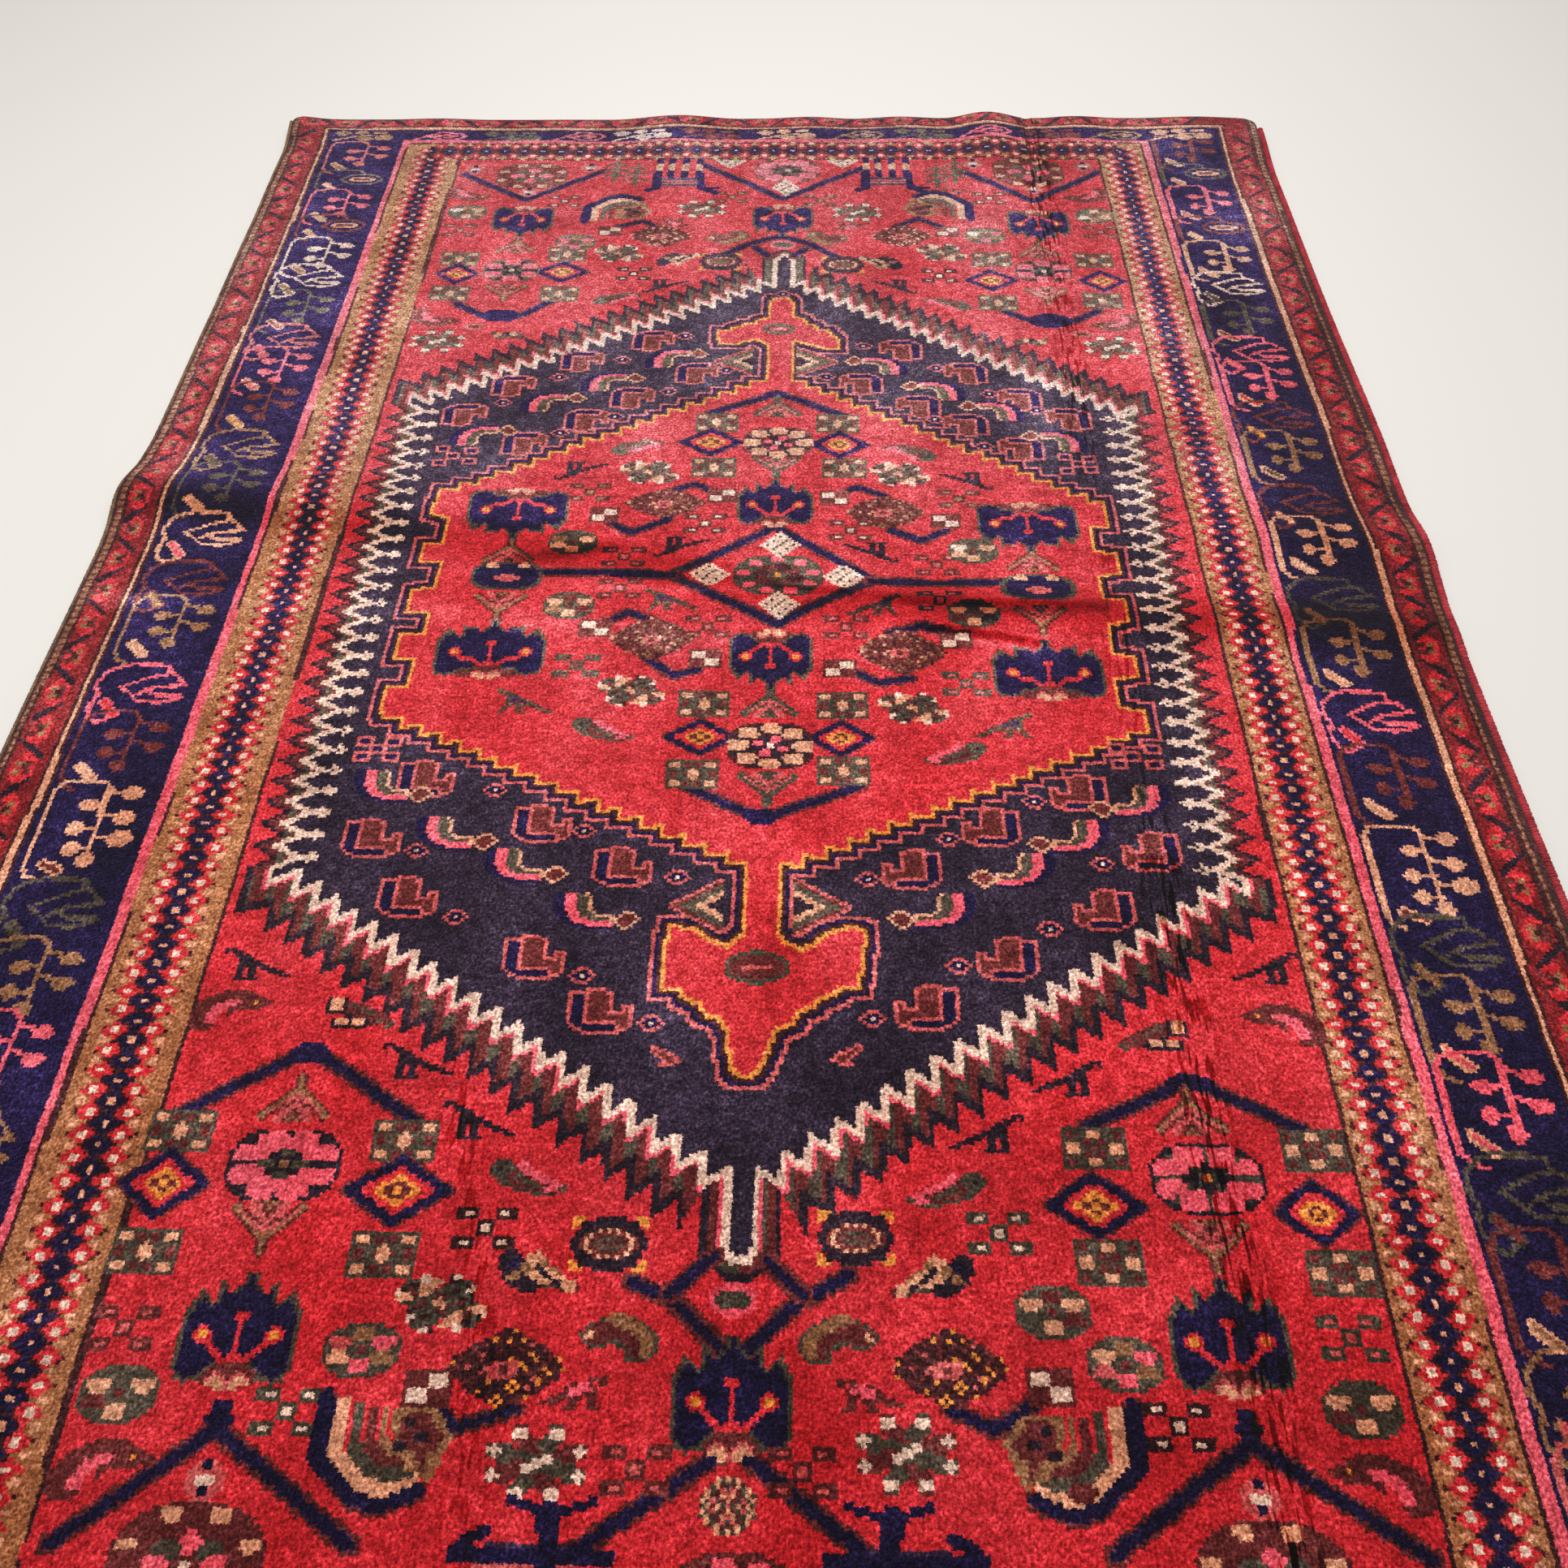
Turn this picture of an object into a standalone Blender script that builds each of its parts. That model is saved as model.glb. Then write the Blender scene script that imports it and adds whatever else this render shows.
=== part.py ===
# Hand-knotted village rug, laid out on the floor.
# Metres, +Z up. +Y runs along the warps to the far end, +X to the right-hand selvedge.
# The origin is on the floor, under the middle of the rug's bounding box.

import math

import bmesh
import bpy

# Driving dimensions
rug_length = 2.04
rug_width = 1.30            # over both selvedges
pile_height = 0.010         # knots, wefts and pile together
corner_radius = 0.020
selvedge_gap = 0.0004       # parting between the cloth's edge and its overcast cord
cord_radius = {"left": 0.0030, "right": 0.0045}
cord_end = 0.024            # how far short of each end of the rug a cord stops

# Cells of the cloth; rows are closer together at the two ends and across the middle, where it lifts
columns = 48
rows = 48
row_crowding = 0.35

# How far each long edge stands out from its straight line: (y, metres outwards)
edge_drift = {
    "left": [(-1.02, 0.0050), (-0.90, 0.0010), (-0.45, -0.0015), (-0.10, 0.0010), (0.09, 0.0005),
             (0.18, 0.0045), (0.29, -0.0030), (0.50, -0.0015), (0.70, 0.0010), (0.90, 0.0040), (1.02, 0.0120)],
    "right": [(-1.02, 0.0060), (-0.90, 0.0015), (-0.40, 0.0000), (-0.12, -0.0015), (-0.01, -0.0015),
              (0.09, 0.0035), (0.20, 0.0005), (0.30, 0.0020), (0.55, 0.0000), (0.85, 0.0015), (1.02, 0.0090)],
}
# How far each end stands out from its straight line: (x, metres outwards); the far end runs out askew
end_drift = {
    "far": [(-0.65, -0.0060), (-0.56, -0.0100), (-0.30, -0.0080), (0.00, 0.0000), (0.30, 0.0060), (0.65, 0.0100)],
    "near": [(-0.65, 0.0060), (-0.50, 0.0020), (-0.20, -0.0030), (0.10, 0.0010), (0.35, -0.0020), (0.65, 0.0050)],
}

# Cockles in the two ends: (x of the crest, half width, height, reach into the rug)
far_cockles = [(-0.655, 0.060, 0.0050, 0.10), (-0.450, 0.070, 0.0015, 0.12), (-0.130, 0.085, 0.0055, 0.20),
               (0.045, 0.060, 0.0025, 0.14), (0.165, 0.060, 0.0025, 0.14), (0.283, 0.060, 0.0090, 0.24),
               (0.400, 0.060, 0.0030, 0.14), (0.560, 0.080, 0.0020, 0.12)]
near_cockles = [(-0.500, 0.080, 0.0025, 0.12), (-0.260, 0.070, 0.0040, 0.16), (0.080, 0.090, 0.0030, 0.14),
                (0.360, 0.070, 0.0045, 0.18), (0.655, 0.060, 0.0030, 0.10)]
# Low ridges that run across the rug where it was folded:
# (y at the left edge, y at the right edge, half width, [(x, height), ...])
cross_ridges = [
    (0.185, 0.120, 0.060, [(-0.65, 0.0075), (-0.45, 0.0045), (-0.20, 0.0010), (0.30, 0.0010), (0.50, 0.0040),
                           (0.65, 0.0060)]),
    (0.060, -0.010, 0.045, [(-0.65, 0.0000), (-0.20, 0.0005), (0.00, 0.0030), (0.35, 0.0045), (0.65, 0.0030)]),
]


def smooth_step(t):
    t = min(max(t, 0.0), 1.0)
    return t * t * (3.0 - 2.0 * t)


def read_between(stations, at):
    # value at a place between listed stations, with an S-shaped passage from each to the next
    if at <= stations[0][0]:
        return stations[0][1]
    for (a, value_a), (b, value_b) in zip(stations, stations[1:]):
        if at <= b:
            return value_a + (value_b - value_a) * smooth_step((at - a) / (b - a))
    return stations[-1][1]


def bump(distance, half_width):
    # a smooth crest: 1 in the middle, 0 from half_width outwards
    if abs(distance) >= half_width:
        return 0.0
    return math.cos(0.5 * math.pi * distance / half_width) ** 2


def floor_gap(x, y):
    # height of the rug's underside above the floor
    gap = 0.0
    for crest, half_width, height, reach in far_cockles:
        gap += height * bump(x - crest, half_width) * smooth_step(1.0 - (rug_length / 2 - y) / reach)
    for crest, half_width, height, reach in near_cockles:
        gap += height * bump(x - crest, half_width) * smooth_step(1.0 - (rug_length / 2 + y) / reach)
    for left_y, right_y, half_width, heights in cross_ridges:
        crest = left_y + (right_y - left_y) * (x + rug_width / 2) / rug_width
        gap += read_between(heights, x) * bump(y - crest, half_width)
    return gap


def cloth_edge(side, y):
    # x of the knotted cloth's long edge; the cord lies outside it
    reach = rug_width / 2 - selvedge_gap - 2 * cord_radius[side] - edge_drift[side][-1][1]
    reach += read_between(edge_drift[side], y)
    return -reach if side == "left" else reach


def crowded(share):
    # share of the length, with shorter steps at both ends and in the middle
    return share - row_crowding * math.sin(4 * math.pi * share) / (4 * math.pi)


def cloth_point(u, v):
    # u and v run from 0 to 1 across and along the rug
    along = crowded(v)
    x_guess = rug_width * (u - 0.5)
    far_y = rug_length / 2 - end_drift["far"][-1][1] + read_between(end_drift["far"], x_guess)
    near_y = -rug_length / 2 + end_drift["near"][0][1] - read_between(end_drift["near"], x_guess)
    y = near_y + (far_y - near_y) * along
    left, right = cloth_edge("left", y), cloth_edge("right", y)
    x = left + (right - left) * u
    return round_corner(x, y, left, right, near_y, far_y)


def round_corner(x, y, left, right, near_y, far_y):
    # draws a point that lies outside the corner's arc in to the arc
    inner_x = min(max(x, left + corner_radius), right - corner_radius)
    inner_y = min(max(y, near_y + corner_radius), far_y - corner_radius)
    reach = math.hypot(x - inner_x, y - inner_y)
    if reach > corner_radius:
        x = inner_x + (x - inner_x) * corner_radius / reach
        y = inner_y + (y - inner_y) * corner_radius / reach
    return x, y


def wool(name, rgb, roughness):
    material = bpy.data.materials.new(name)
    material.use_nodes = True
    shader = material.node_tree.nodes["Principled BSDF"]
    shader.inputs["Base Color"].default_value = (*rgb, 1.0)
    shader.inputs["Roughness"].default_value = roughness
    shader.inputs["Metallic"].default_value = 0.0
    material.diffuse_color = (*rgb, 1.0)
    return material


def make_cloth(collection):
    # the knotted cloth: a grid laid along the warps and wefts, then given its thickness downwards
    shape = bmesh.new()
    bmesh.ops.create_grid(shape, x_segments=columns, y_segments=rows, size=0.5)
    for vertex in shape.verts:
        x, y = cloth_point(vertex.co.x + 0.5, vertex.co.y + 0.5)
        vertex.co = (x, y, floor_gap(x, y))
    top = bmesh.ops.extrude_face_region(shape, geom=shape.faces[:])["geom"]
    top_vertices = [item for item in top if isinstance(item, bmesh.types.BMVert)]
    bmesh.ops.translate(shape, vec=(0.0, 0.0, pile_height), verts=top_vertices)
    bmesh.ops.recalc_face_normals(shape, faces=shape.faces[:])
    mesh = bpy.data.meshes.new("rug_body")
    shape.to_mesh(mesh)
    shape.free()
    body = bpy.data.objects.new("rug_body", mesh)
    collection.objects.link(body)
    mesh.materials.append(wool("red_wool_pile", (0.46, 0.025, 0.035), 0.9))
    return body


def make_cord(collection, side):
    # the overcast cord: a tube that follows the cloth's edge and rises with its ridges
    radius = cord_radius[side]
    outwards = -1.0 if side == "left" else 1.0
    curve = bpy.data.curves.new("selvedge_" + side, "CURVE")
    curve.dimensions = "3D"
    curve.bevel_depth = radius
    curve.bevel_resolution = 2
    curve.use_fill_caps = True
    spline = curve.splines.new("POLY")
    spline.points.add(rows)
    first, last = -rug_length / 2 + cord_end, rug_length / 2 - cord_end
    for index, point in enumerate(spline.points):
        y = first + (last - first) * crowded(index / rows)
        edge = cloth_edge(side, y)
        x = edge + outwards * (selvedge_gap + radius)
        point.co = (x, y, floor_gap(edge, y) + radius, 1.0)
    cord = bpy.data.objects.new("selvedge_" + side, curve)
    collection.objects.link(cord)
    curve.materials.append(wool("red_overcasting_" + side, (0.22, 0.02, 0.025), 0.95))
    return cord


def main():
    for old in list(bpy.data.objects):
        bpy.data.objects.remove(old, do_unlink=True)
    collection = bpy.data.collections.new("persian_rug")
    bpy.context.scene.collection.children.link(collection)
    make_cloth(collection)
    for side in ("left", "right"):
        make_cord(collection, side)


main()
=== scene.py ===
# Hand-knotted village rug with a stepped medallion, laid out on a pale floor.
import math
from functools import partial

import bpy
import numpy as np
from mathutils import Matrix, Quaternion, Vector, noise


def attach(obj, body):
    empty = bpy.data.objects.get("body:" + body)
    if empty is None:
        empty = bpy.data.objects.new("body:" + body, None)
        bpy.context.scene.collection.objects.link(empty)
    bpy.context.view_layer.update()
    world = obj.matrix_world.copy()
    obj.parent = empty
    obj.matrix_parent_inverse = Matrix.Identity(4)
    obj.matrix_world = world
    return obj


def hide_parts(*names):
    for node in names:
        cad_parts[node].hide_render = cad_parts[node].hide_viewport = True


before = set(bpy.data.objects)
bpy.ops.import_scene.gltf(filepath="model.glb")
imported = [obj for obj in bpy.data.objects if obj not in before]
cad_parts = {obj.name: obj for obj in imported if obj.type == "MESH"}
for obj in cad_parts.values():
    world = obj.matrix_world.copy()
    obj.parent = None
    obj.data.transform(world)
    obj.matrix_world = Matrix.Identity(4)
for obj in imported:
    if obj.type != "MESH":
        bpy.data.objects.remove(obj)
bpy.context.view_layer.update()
print("frame loaded:", sorted(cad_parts))


# The knotted design. One letter of yarn for each knot. x counts knots from the middle towards the right-hand
# selvedge, y towards the far end, and a knot is 3 mm both ways.
knotted = {"across": 424, "along": 676, "pitch": 0.003}

# Yarn colours, in sRGB; the pile's painted light curves pale them towards the far end as painted sheen and deepen them
# towards the near one as painted shade
yarns = {
    "R": "#CE3137",   # red of the field
    "B": "#8B2121",   # brick red of the outer border
    "S": "#2F2233",   # slate ground of the medallion
    "N": "#160B38",   # border navy
    "C": "#AE7049",   # camel hair
    "P": "#E85F6C",   # hot pink
    "W": "#E6C0AC",   # ivory, undyed wool
    "M": "#CC5F5C",   # salmon outlines
    "D": "#451C1A",   # iron brown, nearly black
    "A": "#6F2D28",   # reddish brown
    "G": "#55493A",   # dark moss green
    "O": "#E48F40",   # gold
    "H": "#DC9C7C",   # peach
    "U": "#46304A",   # aubergine
    "K": "#2A1A24",   # blue-black
    "T": "#996A49",   # olive tan
}
yarnLetters = "".join(yarns)
halfAcross, halfAlong = knotted["across"] // 2, knotted["along"] // 2
knotX, knotY = np.meshgrid(np.arange(knotted["across"]) - halfAcross + 0.5,
                           np.arange(knotted["along"]) - halfAlong + 0.5)
chart = np.zeros(knotX.shape, int)


def patch(points, margin=2.0):
    # rows and columns of the chart round some points, to keep each shape's work small
    xs, ys = [p[0] for p in points], [p[1] for p in points]
    low = [max(int(min(v) - margin) + half, 0) for v, half in ((ys, halfAlong), (xs, halfAcross))]
    high = [max(int(max(v) + margin) + half + 1, 0) for v, half in ((ys, halfAlong), (xs, halfAcross))]
    return slice(low[0], high[0]), slice(low[1], high[1])


def dye(area, mask, letter):
    if letter != ".":
        chart[area][mask] = yarnLetters.index(letter)


def insideShape(points, area=None):
    # knots whose middles lie inside a closed outline
    area = area or patch(points)
    x, y = knotX[area], knotY[area]
    inside = np.zeros(x.shape, bool)
    for (ax, ay), (bx, by) in zip(points, points[1:] + points[:1]):
        if ay != by:
            inside ^= ((ay > y) != (by > y)) & (x < ax + (bx - ax) * (y - ay) / (by - ay))
    return area, inside


def fillShape(points, letter):
    area, inside = insideShape(points)
    dye(area, inside, letter)


def awayFrom(points, area):
    # distance of each knot in the area from a broken line
    x, y = knotX[area], knotY[area]
    nearest = np.full(x.shape, 1e9)
    for (ax, ay), (bx, by) in zip(points, points[1:]):
        length = (bx - ax) ** 2 + (by - ay) ** 2
        share = np.clip(((x - ax) * (bx - ax) + (y - ay) * (by - ay)) / max(length, 1e-9), 0, 1)
        nearest = np.minimum(nearest, np.hypot(x - ax - share * (bx - ax), y - ay - share * (by - ay)))
    return nearest


def drawLine(points, width, letters):
    # a line of knots; a second letter edges it by one knot
    area = patch(points, width + 2)
    away = awayFrom(points, area)
    if len(letters) > 1:
        dye(area, away < width / 2 + 0.9, letters[1])
    dye(area, away < width / 2, letters[0])


def drawOval(x, y, halfX, halfY, letters, power=2.0):
    # rings of yarn from the outside inwards, each a knot and a half narrower
    area = patch([(x - halfX, y - halfY), (x + halfX, y + halfY)])
    for ring, letter in enumerate(letters):
        a, b = halfX - 1.5 * ring, halfY - 1.5 * ring
        if a > 0 and b > 0:
            inside = (abs(knotX[area] - x) / a) ** power + (abs(knotY[area] - y) / b) ** power < 1
            dye(area, inside, letter)


def stitch(rows, x, y, mirror=False, flip=False, whole=""):
    # lays a small charted motif with its middle at x, y; whole says which halves to repeat
    rows = rows.split()
    rows = [row.ljust(max(map(len, rows)), ".") for row in rows]
    if "x" in whole:
        rows = [row + row[-2::-1] for row in rows]
    if "y" in whole:
        rows = rows + rows[-2::-1]
    if "r" in whole:
        rows = rows + [row[::-1] for row in rows[-2::-1]]
    rows = [row[::-1] for row in rows] if mirror else rows
    rows = rows[::-1] if flip else rows
    left = int(round(x - len(rows[0]) / 2 + halfAcross))
    top = int(round(y + len(rows) / 2 + halfAlong)) - 1
    for down, row in enumerate(rows):
        for along, letter in enumerate(row):
            i, j = left + along, top - down
            if letter != "." and 0 <= i < knotted["across"] and 0 <= j < knotted["along"]:
                chart[j, i] = yarnLetters.index(letter)


turnRow = 20    # the weaver turned the motifs over from this row on


def stitchAll(charts, places, names):
    # motifs that face each other: mirrored in the right half of the rug and turned over in the far one
    for name in names:
        for x, y in places[name]:
            stitch(charts[name], x, y, mirror=x > 0, flip=y > turnRow)


def grow(mask, steps):
    # takes in the neighbouring knots, one ring of knots for each step
    for _ in range(steps):
        mask = mask | np.roll(mask, 1, 0) | np.roll(mask, -1, 0)
        mask = mask | np.roll(mask, 1, 1) | np.roll(mask, -1, 1)
    return mask


def sway(along, seed, size):
    # the slow drift of a hand-counted line, in knots
    return size * (np.sin(along / 41.0 + seed) + 0.6 * np.sin(along / 17.0 + 2.3 * seed)
                   + 0.4 * np.sin(along / 7.3 + 4.1 * seed)) / 2.0


# Ground bands from the outside in: (yarn, left x, right x, near y, far y)
groundBands = [
    ("D", -230, 230, -350, 350), ("B", -208.4, 207.4, -337.6, 337.6), ("D", -198.4, 197.6, -329.6, 329.6),
    ("H", -197.4, 196.6, -328.6, 328.6), ("D", -195.8, 195.1, -327.0, 327.0), ("N", -194.8, 194.1, -326.2, 326.2),
    ("P", -161.9, 162.8, -316.4, 316.6), ("D", -159.5, 160.2, -314.2, 314.2), ("C", -158.6, 159.3, -313.2, 313.2),
    ("D", -135.4, 140.0, -299.2, 299.2), ("R", -134.2, 138.9, -298.0, 298.0),
]
handDrift = 0.45    # how far a counted line sways, in knots
tanLine = {"middles": (-210.1, 209.7), "half": 0.75, "bead every": 3}


def layGround():
    for index, (letter, left, right, near, far) in enumerate(groundBands):
        seed = index // 2
        inside = (knotX > left + sway(knotY, 0.7 + seed, handDrift))
        inside &= knotX < right + sway(knotY, 1.9 + seed, handDrift)
        inside &= knotY > near + sway(knotX, 2.4 + seed, handDrift)
        inside &= knotY < far + sway(knotX, 3.3 + seed, handDrift)
        dye(..., inside, letter)
    # a line down each long side, beaded with a brown knot in every third row
    for middle in tanLine["middles"]:
        line = abs(knotX - middle - sway(knotY, 0.7, handDrift)) < tanLine["half"]
        dye(..., line, "T")
        dye(..., line & (np.floor(knotY) % tanLine["bead every"] == 0), "A")


# Borders. The camel chain: navy lozenges in a row, red ones half a step off beside them, dark teeth outside
camelChain = {"side pitch": 5.75, "end pitch": 8.3, "middle": {"left": -147.0, "right": 149.2}, "end middle": 306.3,
              "half": 11.5, "tooth": 4.4, "tooth reach": 0.42, "line": 6.9, "flank": 4.6, "red": (2.7, 3.3),
              "navy": (3.0, 3.7)}


def layChain(along, across, reach, pitch, seed):
    area = (abs(across) < camelChain["half"]) & (abs(along) < reach)
    along = along + sway(along, seed, 1.1)
    fromNavy = abs((along / pitch + 0.5) % 1.0 - 0.5) * pitch
    fromRed = pitch / 2 - fromNavy
    teeth = camelChain["tooth"] * (1 + np.clip(1.0 - fromRed / (pitch * camelChain["tooth reach"]), 0, 1))
    flank = abs(abs(across) - camelChain["flank"])
    (redAlong, redAcross), (navyAlong, navyAcross) = camelChain["red"], camelChain["navy"]
    for mask, letter in ((abs(across) < teeth, "D"),
                         ((abs(abs(across) - camelChain["line"]) < 1.0) & (fromNavy < 0.75), "H"),
                         (fromRed / redAlong + flank / redAcross < 1, "R"),
                         ((fromRed < 0.9) & (flank < 1.0), "W"),
                         (fromNavy / navyAlong + abs(across) / navyAcross < 1, "N"),
                         ((fromNavy < 0.7) & (abs(across) < 0.75), "H")):
        dye(..., area & mask, letter)


# Slanting bars joined into one wave down the brick red border, a floret on a red oval in every bend
meander = {"step": 15.2, "slant": 3.4, "bars": ((1.2, 8.2), (7.4, 2.0)), "floret": 5.0, "oval": (3.7, 6.1),
           "petals": (1.6, 1.4)}


def layMeander(along, across, inward, reach, phase):
    step, slant = meander["step"], meander["slant"]
    place = lambda u, v: (across + inward * v, u) if along == "y" else (u, across + inward * v)
    halfX, halfY = meander["oval"][::1 if along == "y" else -1]
    count = int(reach / step) + 1
    for k in range(-count, count + 1):
        y = k * step + phase
        if abs(y) > reach:
            continue
        outer, inner = meander["bars"][k % 2]
        floret = (y - step / 2, meander["floret"])
        drawOval(*place(*floret), halfX, halfY, "R", 1.7)
        drawLine([place(y - slant, inner), place(y - step + slant, inner)], 1.0, "A")
        drawLine([place(y + slant, outer), place(y - slant, inner)], 2.4 if k % 2 else 1.9, "K")
        petalY, petalX = meander["petals"]
        for dy in (-petalY, petalY):
            for dx in (-petalX, petalX):
                drawOval(*place(floret[0] + dy, floret[1] + dx), 1.2, 1.2, "TA"[(k + (dx > 0)) % 2])
        drawOval(*place(*floret), 1.1, 1.1, "D")


# Vine of the navy border: (middle y, kind, yarn, bud yarn)
leftVine = [
    (302, "spray", "M", "T"), (279, "oval", "G", "H"), (256, "spray", "P", "H"), (238, "oval", "A", "H"),
    (215, "spray", "W", "T"), (198, "tulip", "W", "T"), (175, "spray", "G", "A"), (155, "tulip", "M", "P"),
    (135, "spray", "P", "P"), (112, "spray", "A", "O"), (87, "tulip", "T", "G"), (64, "spray", "G", "H"),
    (40, "tulip", "H", "P"), (16, "tulip", "A", "T"), (-5, "spray", "T", "H"), (-32, "tulip", "P", "R"),
    (-56, "spray", "A", "H"), (-83, "tall spray", "H", "A"), (-114, "tulip", "G", "G"), (-138, "spray", "T", "T"),
    (-160, "spray", "P", "P"), (-183, "tulip", "T", "A"), (-206, "spray", "A", "T"), (-229, "tulip", "G", "M"),
    (-252, "spray", "H", "P"), (-275, "oval", "A", "H"), (-299, "spray", "M", "G"),
]
rightVine = [
    (307, "spray", "A", "H"), (286, "oval", "G", "H"), (262, "spray", "P", "P"), (241, "oval", "A", "H"),
    (217, "spray", "H", "H"), (197, "tulip", "W", "G"), (172, "spray", "G", "A"), (151, "tulip", "P", "P"),
    (130, "spray", "P", "R"), (109, "tulip", "A", "O"), (87, "spray", "T", "G"), (60, "tulip", "A", "H"),
    (38, "spray", "H", "W"), (12, "tulip", "G", "T"), (-13, "spray", "T", "H"), (-39, "tulip", "P", "R"),
    (-65, "spray", "A", "H"), (-95, "tall spray", "H", "A"), (-122, "tulip", "G", "T"), (-145, "spray", "T", "P"),
    (-168, "spray", "P", "P"), (-191, "tulip", "G", "A"), (-214, "spray", "A", "T"), (-237, "tulip", "T", "M"),
    (-260, "spray", "M", "P"), (-283, "oval", "A", "H"), (-305, "spray", "T", "G"),
]
vineShapes = {
    # broken lines, leaves (x, y, half x, half y) and bud, from the foot of the vine line
    "spray": {"lines": [[(5, -17.5), (2, -16), (0, -13), (0, 9), (2, 12), (6, 13.3), (14, 13.5), (16, 11.5), (16, -8)],
                        [(16, 9.5), (20, 8)], [(16, 2), (20, 0.5)], [(16, 4.5), (13, 4)], [(16, -3), (13, -3.5)]],
              "leaves": [(23.2, 6.8, 3.7, 2.3), (23.2, -0.8, 3.7, 2.3), (10.2, 4.2, 3.2, 2.3), (10.2, -3.4, 3, 2.3),
                         (15.2, -8.2, 3, 2.5)], "bud": [(4.3, -9), (9, -13.5)]},
    "tall spray": {"lines": [[(4, -22), (1, -21), (0, -18), (0, 9), (2, 12.5), (14, 12.5), (15.6, 11), (16, -17)],
                             [(16, 9), (20, 8.6)], [(16, 1), (20, 0)], [(16, -7), (20, -7.8)], [(16, 4), (13, 4)],
                             [(16, -4.5), (12, -4.5)], [(16, -11.5), (13, -11.5)]],
                   "leaves": [(22.6, 8.5, 4, 2.6), (22.6, -0.5, 4, 2.6), (23.6, -8, 4.5, 3), (11.6, 4, 3.2, 2.4),
                              (10.1, -4.5, 3.2, 2.4), (11.1, -11.5, 3.2, 2.4), (16.1, -15.5, 3.3, 2.6)],
                   "bud": [(5, -17), (9.6, -19)]},
    "tulip": {"lines": [[(6.6, -13.5), (3.6, -15.5), (0.6, -13.5), (-0.7, -9), (0.6, -4), (-0.9, 0), (0.1, 5),
                         (3.6, 8), (7.6, 9.2), (15.6, 9), (19.6, 8), (19.6, 5), (15.6, 4), (10.6, 1.5), (6.6, -0.5),
                         (9.6, -3),
                         (13.1, -6.5), (19.6, -7), (23.6, -6), (26.1, -4.5)],
                        [(19.8, 5.5), (22.6, 4), (24.1, 2), (26.1, 0.5), (17.6, -0.5), (14.1, -2), (12.6, -3.5)],
                        [(25.6, -4), (17.6, -4), (14.6, -2)]], "leaves": [], "bud": [(3.6, -7), (7.6, -12)]},
    "oval": {"lines": [[(5, -12), (1, -10), (0, -7), (0, 6), (3, 8.5), (10, 9), (18, 8), (19, 5)]], "leaves": [],
             "bud": [(4.4, -5), (7.4, -8.5)]},
}


def layVine(units, foot):
    for y, kind, letter, bud in units:
        shape = vineShapes[kind]
        for line in shape["lines"]:
            drawLine([(foot + u, y + v) for u, v in line], 1.3, letter)
        for u, v, halfX, halfY in shape["leaves"]:
            drawOval(foot + u, y + v, halfX * 0.84, halfY, letter, 1.7)
        if kind == "oval":
            drawOval(foot + 19, y, 9.0, 5.2, letter + "NHA")
        budAt = [(foot + u, y + v) for u, v in shape["bud"]]
        drawLine(budAt, 3.4, letter if kind == "tulip" else "H")
        drawLine(budAt, 2.2 if kind == "tulip" else 1.6, bud)


# Flattened vine of the two ends: (middle x, kind, yarn)
endVine = [(-180, "spray", "T"), (-146, "tulip", "P"), (-115, "spray", "G"), (-85, "tulip", "M"),
           (-58, "spray", "W"), (-28, "spray", "A"), (5, "spray", "H"), (37, "tulip", "T"), (65, "spray", "G"),
           (93, "tulip", "P"), (121, "spray", "A"), (150, "tulip", "T"), (178, "spray", "H")]


def layEndVine(middle, side):
    for x, kind, letter in endVine:
        if kind == "spray":
            drawLine([(x - 12, middle - 4 * side), (x - 5, middle - 1 * side), (x + 3, middle + 1 * side),
                      (x + 9, middle - 1 * side)], 1.4, letter)
            for u, v, halfX, halfY in [(-9, 2.6, 3.6, 2.2), (-1, 3.4, 3.2, 1.8), (1, -2.6, 3.6, 2.0),
                                       (9, -1.5, 4.4, 2.4), (7, 3.2, 2.8, 1.5)]:
                drawOval(x + u, middle + v * side, halfX, halfY, letter)
        else:
            for line in [[(-11, -3.6), (-7, 0), (0, 3.8), (8, 2.6), (10.5, 0), (8, -2.8), (1, -3.6), (-5, -0.6)],
                         [(-3, -0.6), (2, 1.4), (7, 0.2), (2, -1.4)]]:
                drawLine([(x + u, middle + v * side) for u, v in line], 1.4, letter)


def layBorders():
    for along, across, inward, reach, phase in (("y", -209.2, 1, 326, 3.0), ("y", 207.8, -1, 326, -4.0),
                                                ("x", 338.2, -1, 196, 2.0), ("x", -338.2, 1, 196, -3.0)):
        layMeander(along, across, inward, reach, phase)
    for side, seed in (("left", 0.4), ("right", 1.4)):
        across = knotX - camelChain["middle"][side] - sway(knotY, seed, 0.6)
        layChain(knotY, across, 309, camelChain["side pitch"], {"left": 1.0, "right": 2.0}[side])
    for side, seed in ((1, 3.0), (-1, 4.0)):
        layChain(knotX, knotY * side - camelChain["end middle"], 149, camelChain["end pitch"], seed)
    layVine(leftVine, -192.6)
    layVine(rightVine, 164.9)
    layEndVine(320.8, 1)
    layEndVine(-320.8, -1)
    print("borders laid")


# Medallion. Saw edges of the slate ground: (first inner point, last inner point, bars, lean and rise of a bar)
medallionEdges = {
    "upper left": ((-118.0, 112.5), (2.2, 193.0), 21, (-0.9, 8.3)),
    "upper right": ((123.0, 108.5), (8.8, 192.5), 20, (-1.6, 8.3)),
    "lower left": ((-118.0, -101.5), (-2.2, -188.0), 20, (0.3, -8.2)),
    "lower right": ((123.5, -101.0), (4.6, -188.0), 20, (-0.3, -8.2)),
    "side": {"left": (-119.4, 108.0), "right": (122.6, 106.5), "step": 7.88, "tips": 27, "depth": 6.6},
}
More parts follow.
